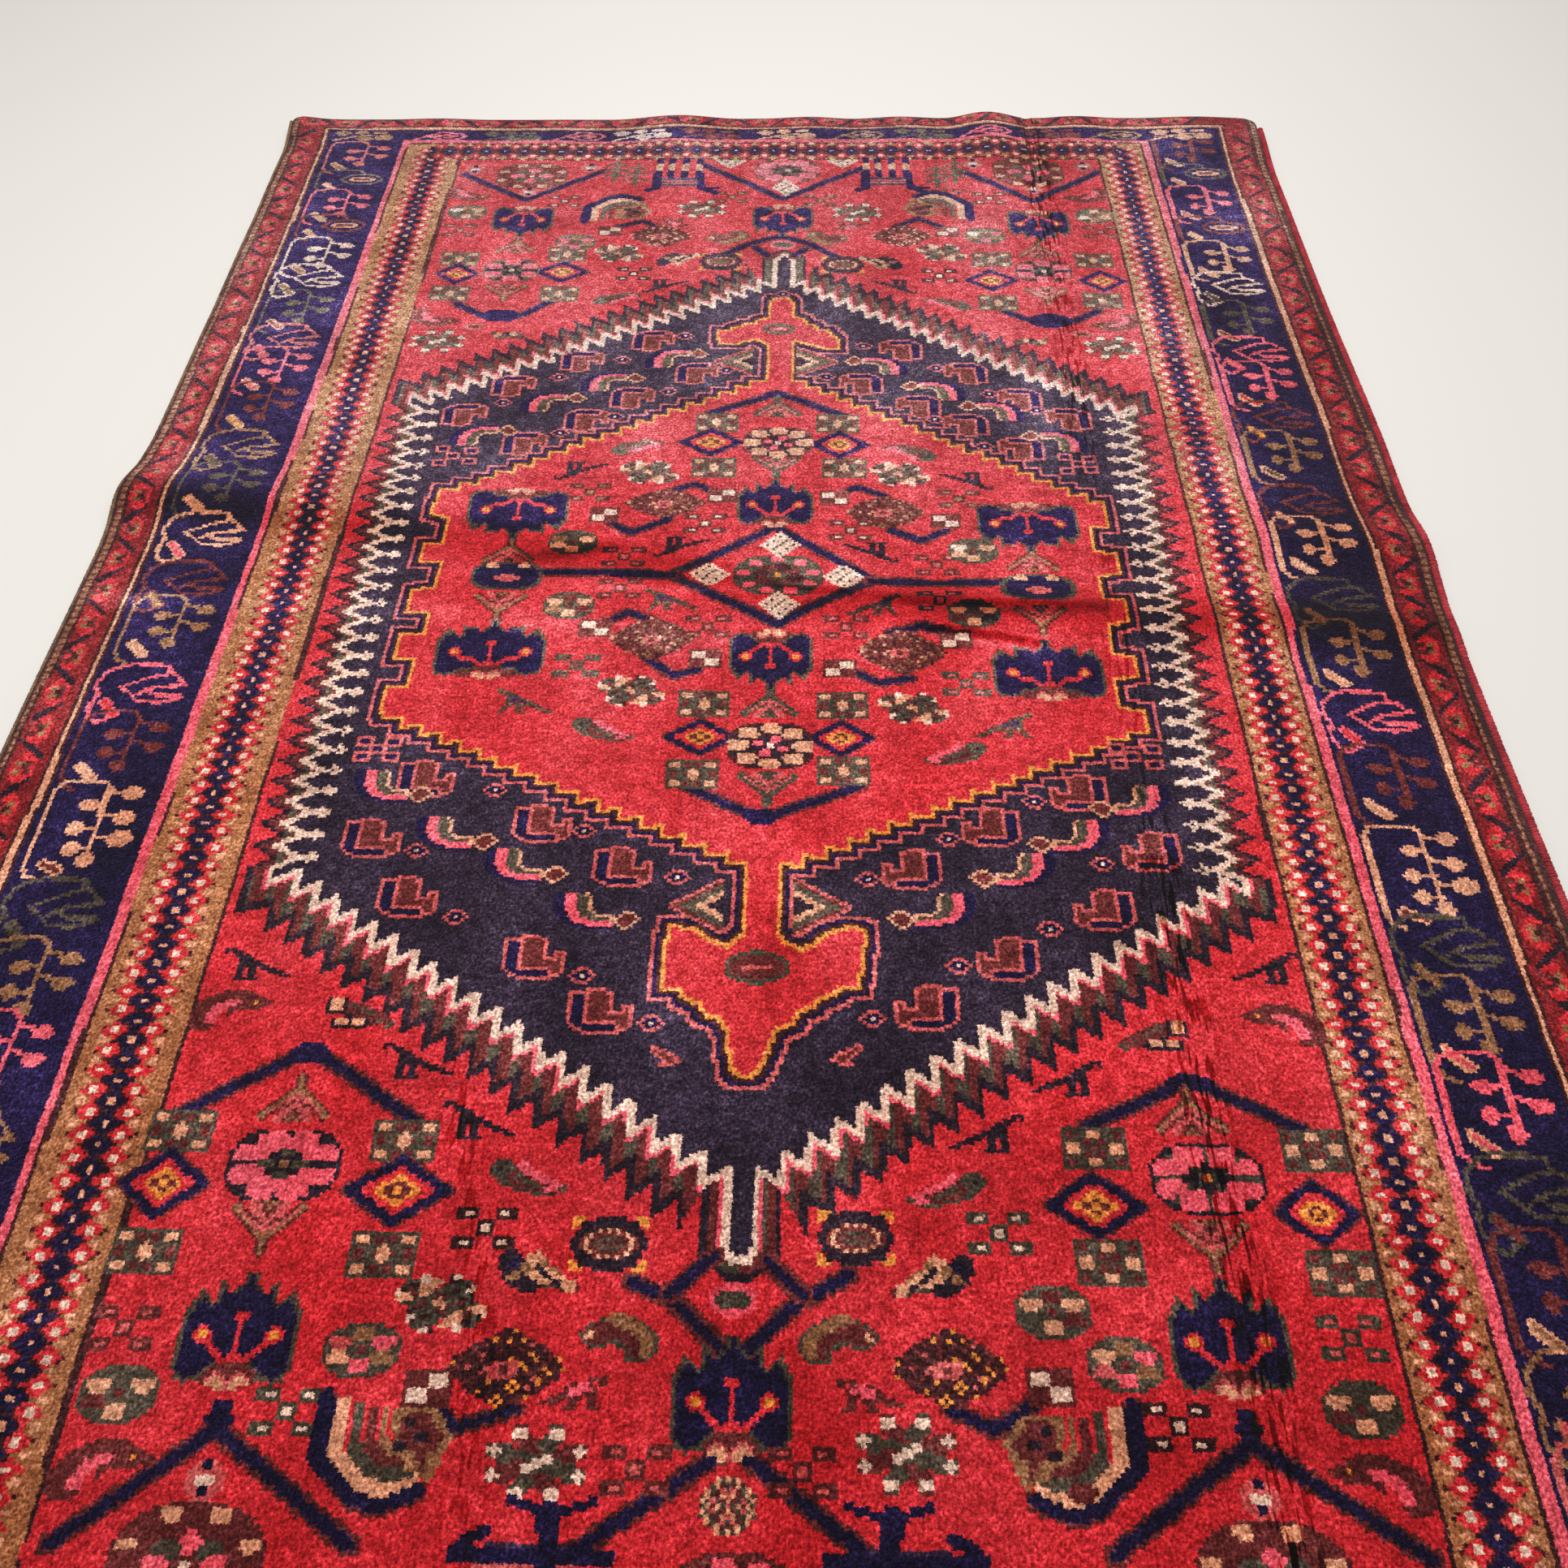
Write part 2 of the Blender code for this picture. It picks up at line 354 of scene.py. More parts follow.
# Stripes of its outer band: their pitch and width on the slopes, and the thin one's place and half width at the sides
slopeStripe = {"pitch": 5.85, "width": 2.6, "from": 104, "side": 125.5, "side half": 0.9, "side to": 110}
# Bands round the slate ground from the outside in: (steps out, yarn)
medallionBands = [(12.6, "K"), (8.8, "A"), (2.9, "P"), (0.0, "S")]


def medallionPath():
    # the whole ivory line as [(x, y, outward x, outward y), ...], clockwise from the upper left corner
    def slope(name, side, towards):
        (ax, ay), (bx, by), count, (lean, rise) = medallionEdges[name]
        out = (0.42 * side, 1.0 if rise > 0 else -1.0)
        found = []
        for k in range(count):
            x, y = ax + (bx - ax) * k / count, ay + (by - ay) * k / count
            found += [(x, y, *out), (x + lean, y + rise, *out)]
        return found if towards else found[::-1]

    def side(name, out):
        edges = medallionEdges["side"]
        x, y = edges[name]
        found = []
        for k in range(edges["tips"]):
            tip = y - edges["step"] * k
            found += [(x, tip, out * 0.55, 0), (x + out * edges["depth"], tip - edges["step"] / 2, out * 0.55, 0)]
        return found[:-1]

    path = [(-125.5, 113.0, -0.55, 0), (-125.5, 118.3, -0.5, 0.8)] + slope("upper left", -1, True)
    path += [(2.2, 193, -0.45, 0.2), (2.2, 213, -0.45, 0.2), (5.5, 217.5, 0, 0.35), (8.8, 213, 0.45, 0.2),
             (8.8, 192.5, 0.45, 0.2)]
    path += slope("upper right", 1, False) + [(130.0, 114.5, 0.5, 0.8), (129.6, 110.5, 0.55, 0)]
    path += side("right", 1) + [(130.0, -101.5, 0.55, 0), (130.0, -106.0, 0.5, -0.8)]
    path += slope("lower right", 1, True) + [(4.6, -188, 0.45, -0.2), (4.6, -207, 0.45, -0.2),
                                             (2.6, -210.3, 0.1, -0.35), (-0.4, -210.3, -0.1, -0.35),
                                             (-2.2, -207, -0.45, -0.2), (-2.2, -188, -0.45, -0.2)]
    path += slope("lower left", -1, False) + [(-125.5, -106.0, -0.5, -0.8), (-125.5, -101.0, -0.55, 0)]
    return path + side("left", -1)[::-1]


def layMedallionGround():
    path = medallionPath()
    line = [(x, y) for x, y, outX, outY in path]
    for steps, letter in medallionBands:
        area, inside = insideShape([(x + outX * steps, y + outY * steps) for x, y, outX, outY in path])
        dye(area, inside, letter)
        if letter == "A":
            # moss green stripes over the brown, thin ones along the sides
            x, y = knotX[area], abs(knotY[area])
            stripe = (abs(x) + 1.2 * (x > 0)) % slopeStripe["pitch"] < slopeStripe["width"]
            stripe &= y > slopeStripe["from"]
            thin = abs(abs(x - 1.5) - slopeStripe["side"]) < slopeStripe["side half"]
            stripe |= thin & (y < slopeStripe["side to"])
            dye(area, inside & stripe, "G")
    drawLine(line + line[:1], 1.75, "W")
    # three ivory knots in front of every tooth at the sides
    edges = medallionEdges["side"]
    for name, inwards in (("left", 1), ("right", -1)):
        x, y = edges[name]
        for k in range(edges["tips"]):
            for across, up in ((1.6, 0), (3.0, 1.1), (3.0, -1.1), (4.4, 0)):
                drawOval(x + inwards * across, y - edges["step"] * k + up, 1.0, 0.9, "W")


def stairs(ax, ay, bx, by, count):
    points = []
    for k in range(count):
        x, y = ax + (bx - ax) * k / count, ay + (by - ay) * k / count
        points += [(x, y), (ax + (bx - ax) * (k + 1) / count, y + 0.9 * (1 if y > 0 else -1))]
    return points


# Gold line round the red middle with its two pendants, clockwise from the far tip
redMiddle = (
    [(2.5, 184), (7, 184), (9, 180), (9.5, 171), (13, 170), (14, 166.5), (17, 165.5), (18, 162), (22, 161.5),
     (23.5, 158), (25, 157), (26.5, 150), (24, 149.5), (20, 151), (14, 154), (10, 156), (8.6, 153), (8.6, 128)]
    + stairs(8.6, 127.5, 112, 54, 19)
    + [(112, 54), (112, 46), (106, 46), (106, 33), (113, 32), (113, 23), (106, 22), (106, 9), (112, 9), (112, -1),
       (106, -2), (106, -15), (112, -16), (112, -24), (105, -25), (105, -38), (112, -39), (112, -43)]
    + stairs(8.5, -97, 112, -43.5, 18)[::-1]
    + [(8.5, -97), (8.5, -122), (10, -124.5), (14, -127), (17, -125), (22, -121), (27, -119), (30, -120),
       (28, -137), (23, -137.5), (22, -139), (18, -140), (17, -143), (13, -144), (12, -148), (8, -149), (6, -155),
       (4, -161), (1, -163.5), (-2, -160), (-3, -151), (-4, -147), (-9, -145), (-10, -142), (-14, -141),
       (-15, -138.5), (-20, -137.5), (-20, -130), (-19, -119), (-13, -120.5), (-9, -124), (-5, -126),
       (-2, -124), (0.5, -121), (0.5, -97)]
    + stairs(0.5, -96.5, -106, -40.5, 18)
    + [(-107, -39), (-107, -32), (-101, -32), (-101, -19), (-107, -19), (-107, -9), (-100, -9), (-100, 2),
       (-107, 2), (-107, 11), (-100, 12), (-100, 26), (-107, 26), (-107, 34), (-101, 34), (-101, 48), (-107, 50),
       (-106, 57)]
    + stairs(1.0, 127.5, -105.5, 57.5, 19)[::-1]
    + [(1, 128), (1, 152), (0, 154), (-4, 156), (-9, 155), (-12, 153), (-17, 152.5), (-18, 160.5), (-13.5, 161),
       (-13, 163), (-9, 164), (-8, 166), (-4, 166.5), (-3, 169), (1, 170), (1, 181)])
# Rings from the gold line outwards: (steps, yarn)
middleRings = [(4, "M"), (3, "N"), (2, "D"), (1, "O")]


def layRedMiddle():
    inside = insideShape(redMiddle, (slice(None), slice(None)))[1]
    for steps, letter in middleRings:
        chart[grow(inside, steps)] = yarnLetters.index(letter)
    chart[inside] = yarnLetters.index("R")


# Charts of small motifs as they lie in the near left quarter, the far row first; a quarter or a half is enough
# where a motif repeats itself
smallCharts = {
    "bird": """
        ....MMMMM....... MMMMMAAAAMM..... MNNNMAAAAAM..... MNNNMAAAAAM..... MNNNMAAAAAM..... MNNNMAAAAAM..MMM
        MNNNMAAAAAM..MAM MNNNMAAAAAMMMMAM MNNNMAAAAAAAAAAM MNNNMAAAAAAAAAAM MNNNMMMMMMMMAAAM .MNNNNNNNNNNMAAM
        ..MMNNNNNNNNMMM. ....MMMMMMMMM...""",
    "tailBird": """
        NNNPPPGGH.............. NNNPPPGGGH............. NNNPPPGGGH............. NNNPPPGGGH.............
        NNNPPPGGGH............. NNNPPPGGGH............. .NNNPPPGGGH.......HHH.. .NNNPPPGGGGHHHHH.HAAAH.
        ..NNNPPPPGGGGGGHHAAAAAH ...NNNPPPPPPPPPHHAAAAH. .....NNNNPPPPPPP.HAAH.. ........NNNNNNNN..HH...""",
    "spark": """
        ..MM .MNN MNNW""",
    "box": """
        MMMMM MNNNM MNNNM MMMMM""",
    "hook": """
        MM...... MAMM.... .MAAMM.. ..MAAAM. ...MAAMM ..MMMM..""",
}
birdPlaces = {
    "bird": [(-67, 140), (-42, 154), (-25, 133), (-47, 117), (-90, 124), (-105, 106), (-62, 103), (-82, 89),
        (-90, -68), (-56, -84), (-33, -99), (-101, -90), (-88, -110), (-53, -129), (-35, -145), (49, 149), (72, 134),
        (34, 127), (54, 113), (90, 118), (106, 106), (70, 102), (88, 88), (90, -71), (65, -84), (43, -99), (107, -92),
        (92, -112), (66, -128), (45, -143)],
    "tailBird": [(-54, 127), (-32, 143), (-74, 114), (-97, 94), (-98, -71), (-79, -88), (-58, -99), (-38, -114),
        (39, 139), (60, 123), (80, 111), (100, 93), (104, -74), (85, -87), (70, -99), (48, -113)],
    "spark": [(-30, 157), (-53, 141), (-14, 136), (-35, 121), (-74, 130), (-93, 113), (-52, 106), (-71, 95),
        (36, 152), (61, 138), (22, 131), (60, 105), (80, 121), (96, 112), (75, 90), (5, 188), (-71, -73), (-45, -87),
        (-19, -103), (-89, -95), (-74, -116), (-41, -134), (-22, -149), (78, -75), (53, -88), (31, -103), (94, -96),
        (78, -118), (54, -131), (32, -147)],
    "boxes": [(-104, 82), (107, 80), (-105, -57), (108, -57)],
    "hook": [(-18, -158), (25, -157)],
}


def layBirds():
    stitchAll(smallCharts, birdPlaces, ("bird", "tailBird", "hook"))
    for x, y in birdPlaces["spark"]:
        stitch(smallCharts["spark"], x, y, whole="xy")
    for x, y in birdPlaces["boxes"]:
        for across, up in ((-5, 3.5), (4, 3), (-1, 0), (-5, -3.5), (4, -3)):
            stitch(smallCharts["box"], x + across, y + up)
    # an eye on each side of the two necks
    for x, y, side in ((-4, 141, -1), (11, 141, 1), (-5, -112, -1), (12, -112, 1)):
        for reach, letter in ((1.0, "M"), (0.9, "A"), (0.76, "G"), (0.52, "H"), (0.34, "K")):
            fillShape([(x + side * 0.5, y + 10 * reach), (x + side * (0.5 + 15.5 * reach), y),
                       (x + side * 0.5, y - 10 * reach)], letter)
    print("medallion laid")


fieldCharts = {
    "palmette": """
        ...........GN ...........GN ......G....GN ......GG..GNN ..G...GN.GNNN ..GG..GNNNNNN .GGNG.GNNNNNN
        .GNNNGNNNNNNN GGNNNNNNNNNNN GNNNNNNNNNNRR GNNNNNNNNNNRR GNNNNNNNNNNNR GNNNRRNNNNNNR GNNROORNNNNNR
        GNNROORNNNNNR GNNNRRRNNNNNR GNNNNNRRNNNNR GNNNNNNRRNNNR GNNNNNNNRRNRR GNNNNNNNNRRRR GNNNNNNNGAAAA
        GNNNNNNGAAAAA .GNNNNGAAMMAA .GGNGGGAMHHMA ...G...AHHHHM ..........HHM""",
    "check": """
        GGGGGGGG GHHHGAAG GHHHGAAG GGGGGGGH GAAGGGHH GAAGGAHH""",
    "checkCross": """
        GGGGGGGG GAAGGGHH GAAGGGHH GGGGGAAG GHHHGAAG GHHHGGGA""",
    "eyeBox": """
        OOO..KKKK OOKKKKKKK O.KKKKKKK .KKKKAHAH .KKAHAAAA KKAHAAGGG KKAHAGAAG""",
    "star": """
        .....WW....DWW...... ..GGGWWHHH.DDGGG.... .GGDDHHHH.GGGGGDW... WDGAGHHHAGGGDDGWW... WHHAAHHGGADGGGGGD...
        HHHHGGGGAHAGGGDDG... .GGGGAAGHHHGGAAGGG..""",
    "creamFish": """
        ..KKK....H......... .KKKKK.HHHH........ .KKKNNKHHHTT....... .KKNNKTTHKTT....... .KKKKKTTTKKHTT.....
        ..KKTTKTHHKKHHT.... ..KTTTKKHHHKKHHH... ...KKKKKKKHHHKKHHH. ....KKKKKKKGGGKHHHA ......KKKK.....GHHA""",
    "fish": """
        .GGGG..P.......... GGGGGGPPP......... GGKGGGAPPP........ GGGGGAAGPPPP...... .GGGAAGGGAPPPP....
        ..GGGAAAGGGAPPPP.. ...GGGAAAAGGAAPPPG ......GGGGAAAPPPGG ..........GGGGAA..""",
    "curvedBird": """
        ......TTTT......... ....GTTTTTTG....... ..GAAAATTTTTTG..... .GAAAAAAATTTTTG.... GAHAAAAAAAATTTTG...
        GHHAAAAAAAAATTTTG.. .GAAAAGGGAAAATTTG.. ..GGGG..GGAAATTTG.. ..........GAATTTG.. ..........GAATTG...
        ..........GGGGG....""",
    "colt": """
        TG................ GGTG.............. ..GGGG............ ...GUUG........... ...GUUUUG.........
        ...GUUAUUGG....... ...GTAGTAGGAG..... ..GAG.GAG.AGGA.... ..GA..GA....AGGA.. .GA...GAG.....AGG.""",
    "beast": """
        KKK............... K.KKK............. ...KKKK........... ....KKKK.......... ....KKKKKK........
        ....KKKKKKKK...... ....KK.KK.KKKK.... ....KK.KK...KKKK.. ....KK.KK......KKK ....KKKKKK........""",
    "goat": """
        ..........AAAA.. ......AAPPA.AA.. .....APPPPPA.... ....AAPPPAAA.... ..AAAAAAA.AA.... AAAA..AA..AA....
        .....AAA..AAA...""",
    "boot": """
        .......AAAAAAA...... .....AAAAAAAAAAA.... ...AAAAAAAAAAAAAAA.. ..AAAAAAPPPPAAAOAAAA .AAAAAPPPPPAAAAAAAA.
        .AAAAPPPPAAAAAAAA... AAAAAPPP.AA......... AAAAPPP..A.......... AAAAPPP............. AAAAPPP.............
        AAAAAAA............. .AAAAA..............""",
    "stem": """
        ........A .......AT .......AT .......AT .......AT ......ATT .....ATTM ....ATMMM ...ATMMAM ..ATMAAMM .ATMAMMMA
        ATMA.MMAA TTA.MMMAT .A..MMATA""",
    "chain": """
        ..GGG...AAAAA. .HHGGGGAAGGGAA .HHHGGKHHGGAA. GGHHKKKHHHGG.. GG...KKHHG....""",
    "tailedFish": """
        KHHHK............. KHHHKAAAA......... KHHHKAGGAAA....... KHHHKAAAGGAAA..... KKKKKAAAAAGGAAA...
        .....KKAAAAAAAAA.. ..KHHHKHHHKAAGAAA. ..KHHHKHHHKKAAAAGG ..KKKKKKKKK....GG.""",
    "crumbs": """
        ...HGH ..GHAG .HGAMG GHGAHM HGMGAH GHAHGM""",
}


def layDiamond(x, y, halfX, halfY):
    area = patch([(x - halfX, y - halfY), (x + halfX, y + halfY)])
    reach = abs(knotX[area] - x) / halfX + abs(knotY[area] - y) / halfY
    for limit, letter in ((1.08, "A"), (1.0, "N"), (0.68, "R"), (0.46, "O"), (0.30, "A"), (0.13, "O")):
        dye(area, reach < limit, letter)


def layLattice(x, y, halfX, halfY, only=0):
    # an ivory diamond filled with little dark crosses
    area = patch([(x - halfX, y - halfY), (x + halfX, y + halfY)])
    across, up = np.floor(knotX[area] - x), np.floor(knotY[area] - y)
    reach = abs(across) / halfX + abs(up) / halfY
    inside = (reach < 1) & (up * only <= 0)
    speck = ((across + up) % 4 == 0) & (across % 2 == 0) | ((across + up) % 4 == 2) & (abs(across - up) % 6 < 2)
    speck &= inside & (reach < 0.8)
    for mask, letter in ((inside, "W"), (speck, "G"), (speck & (up % 3 == 0), "A")):
        dye(area, mask, letter)


def layFlower(x, y, halfX, halfY, petal, ground, heart="KPWK", turn=0.0, petals=8, size=0.27, ring=0.72, core=0.3):
    # petals round a pinwheel heart, on a darker round ground; size, ring and core are shares of its reach
    drawOval(x, y, halfX, halfY, ground, 2.6)
    for k in range(petals):
        angle = turn + 2 * math.pi * k / petals
        drawOval(x + math.cos(angle) * halfX * ring, y + math.sin(angle) * halfY * ring,
                 halfX * size, halfY * size, petal, 3.0)
        if size > 0.2:
            angle += math.pi / petals
            drawLine([(x, y), (x + math.cos(angle) * halfX * 0.9, y + math.sin(angle) * halfY * 0.9)], 1.1, heart[0])
    for k in range(8):
        angle = turn + 0.39 + 2 * math.pi * k / 8
        drawOval(x + math.cos(angle) * halfX * core, y + math.sin(angle) * halfY * core,
                 halfX * core * 0.47, halfY * core * 0.47, heart[k % 2])
    drawOval(x, y, 1.6, 1.4, heart[2])


def layWheel(x, y, letters="PTMH", halfX=8.5, halfY=6.0):
    # a little round flower of blots in turning colours
    drawOval(x, y, halfX, halfY, "G", 2.4)
    for k in range(6):
        angle = 0.5 + k * math.pi / 3
        drawOval(x + math.cos(angle) * halfX * 0.6, y + math.sin(angle) * halfY * 0.6, 2.2, 1.6,
                 letters[k % len(letters)], 3.0)
    drawOval(x, y, 1.5, 1.2, "A")


def layStarFlower(x, y, letters="GWA", halfX=9.0, halfY=6.6):
    # eight knobbed points with pale tips and a pale heart
    for k in range(8):
        angle = 0.39 + k * math.pi / 4
        tip = (x + math.cos(angle) * halfX, y + math.sin(angle) * halfY)
        drawLine([(x, y), tip], 3.6, letters[0] if k % 2 else letters[2])
        drawOval(*tip, 1.3, 1.2, letters[1])
    drawLine([(x - 2, y - 1), (x + 2, y + 1)], 1.9, letters[1])


def layDots(x, y, letters="GW", reachX=7.0, reachY=3.6):
    # five little boxes with a pale knot in each
    for across, up in ((-1, 1), (1, 1), (0, 0), (-1, -1), (1, -1)):
        spot = (x + across * reachX * 0.62, y + up * reachY)
        drawOval(*spot, 2.3, 1.9, letters[0], 4.0)
        drawOval(*spot, 0.9, 0.8, letters[1], 4.0)


def layTwoDotBox(x, y, turn):
    fillShape([(x - 5, y - 3.6), (x + 5, y - 3.6), (x + 5, y + 3.6), (x - 5, y + 3.6)], "A")
    for side in (-1, 1):
        drawOval(x + side * 2.2, y + side * turn * 1.5, 2.0, 1.7, "W", 4.0)


def layBar(points, width=2.7):
    drawLine(points, width, "NA")


def layLozenge(x, y, halfX, halfY, ground, speck, roof, keel, boxes, turn):
    # the mottled, speckled lozenge with its roof and keel bars and its two boxes
    if roof:
        layBar(roof, 2.2)
    if keel:
        layBar(keel, 2.4)
    area = patch([(x - halfX, y - halfY), (x + halfX, y + halfY)])
    across, up = np.floor(knotX[area] - x).astype(int), np.floor(knotY[area] - y).astype(int)
    inside = (abs(across) / halfX) ** 1.3 + (abs(up) / halfY) ** 1.3 < 1
    chance = (across * 73 + up * 179 + across * up * 31) % 97
    dye(area, inside, ground)
    dye(area, inside & (chance % 5 == 1), "DA"[ground == "D"])
    dye(area, inside & (chance < 11), speck)
    dye(area, inside & (chance > 93), "HM"[ground == "D"])
    drawOval(x, y, 3.4, 2.2, "MA", 1.6)
    for boxX, boxY in boxes:
        layTwoDotBox(boxX, boxY, turn)


# Nested strips of the arched bird, from its outer foot: (yarn, width, broken line)
archStrips = [
    ("A", 4.4, [(1.7, 0), (1.7, 11.5), (11, 20.5), (16, 22), (23, 19)]),
    ("N", 3.6, [(1.7, 0), (1.7, 11.5), (11, 20), (16, 21.5), (23, 18.5)]),
    ("H", 3.0, [(5.5, 1.5), (5.5, 11), (12, 17.5), (17, 18.5), (22, 16)]),
    ("G", 3.0, [(9, 2), (9, 10), (13, 14.5), (18, 15.5), (22, 14)]),
    ("A", 3.0, [(12, 3), (12, 9.5), (15, 12.5), (19, 13)]),
    ("T", 1.8, [(14.6, 3), (14.6, 8.5), (17, 11), (21, 12)]),
]


def layArchBird(x, y, side=1, up=1):
    # a bird drawn as nested arches: tail down at one side, beak at the other
    place = lambda points: [(x + (u - 16) * side, y + (v - 9) * up) for u, v in points]
    for reach, letter in ((0.0, "T"), (1.4, "A")):
        fillShape(place([(16 + reach, 2 + reach), (25 - reach, 2 + reach), (29 - 1.5 * reach, 8),
                         (25 - reach, 17 - 1.5 * reach), (17 + reach, 12)]), letter)
    for letter, width, points in archStrips:
        drawLine(place(points), width, letter)
    for spot in place([(18.5, 10), (22.5, 8), (20, 5)]):
        drawOval(*spot, 1.4, 1.1, "K", 4.0)
    for spot in place([(26, 5), (25, 12), (21.5, 14), (18, 3)]):
        drawOval(*spot, 1.2, 1.0, "T", 4.0)


def layComb(x, y, up=1):
    # the four-post comb with a body bar; it stands on two feet at the far end and on a forked trunk at the near one
    for post in (-8.5, -3.2, 2.6, 8.4):
        drawLine([(x + post, y + 15 * up), (x + post, y - 1 * up)], 2.7, "N")
        drawLine([(x + post, y + 9.5 * up), (x + post, y + 6.4 * up)], 2.9, "H")
    for width, letter in ((7.0, "U"), (4.0, "M"), (1.3, "A")):
        drawLine([(x - 10 + width / 2, y - 5.5 * up), (x + 10 - width / 2, y - 5.5 * up)], width, letter)
    side = 1 if x > 0 else -1
    feet = [(3.2, [(-9, 2), (-9, -11), (-12, -13)]), (3.4, [(9, 2), (10, -11), (16, -15)]),
            (1.8, [(10, -11), (17, -11)])]
    trunk = [(4.4, [(4, -6), (3.5, -15)]), (1.8, [(-4, -17), (0, -15.4), (7, -15), (12, -17)]),
             (3.0, [(-8, -11), (-12, -9), (-14, -6)]), (3.0, [(-14, -6.4), (16, -6.4)])]
    for width, points in feet if up > 0 else trunk:
        drawLine([(x + u * (1 if up > 0 else -side), y + v * up) for u, v in points], width, "N")


def layTree(x, y):
    drawLine([(x, y - 11), (x + 0.5, y + 8)], 1.8, "G")
    for side in (-1, 1):
        for v in (-4, 1, 6):
            drawLine([(x, y + v), (x + side * 5, y + v - 4)], 1.4, "G")


# the palmettes at the sides of the middle are wider, and the stems inside it green
fieldCharts["widePalmette"] = " ".join(row[:2] + row[2] * 2 + row[3:7] + row[7] * 4 + row[8:]
                                       for row in fieldCharts["palmette"].split())
fieldCharts["greenStem"] = fieldCharts["stem"].replace("A", "G").replace("T", "G")

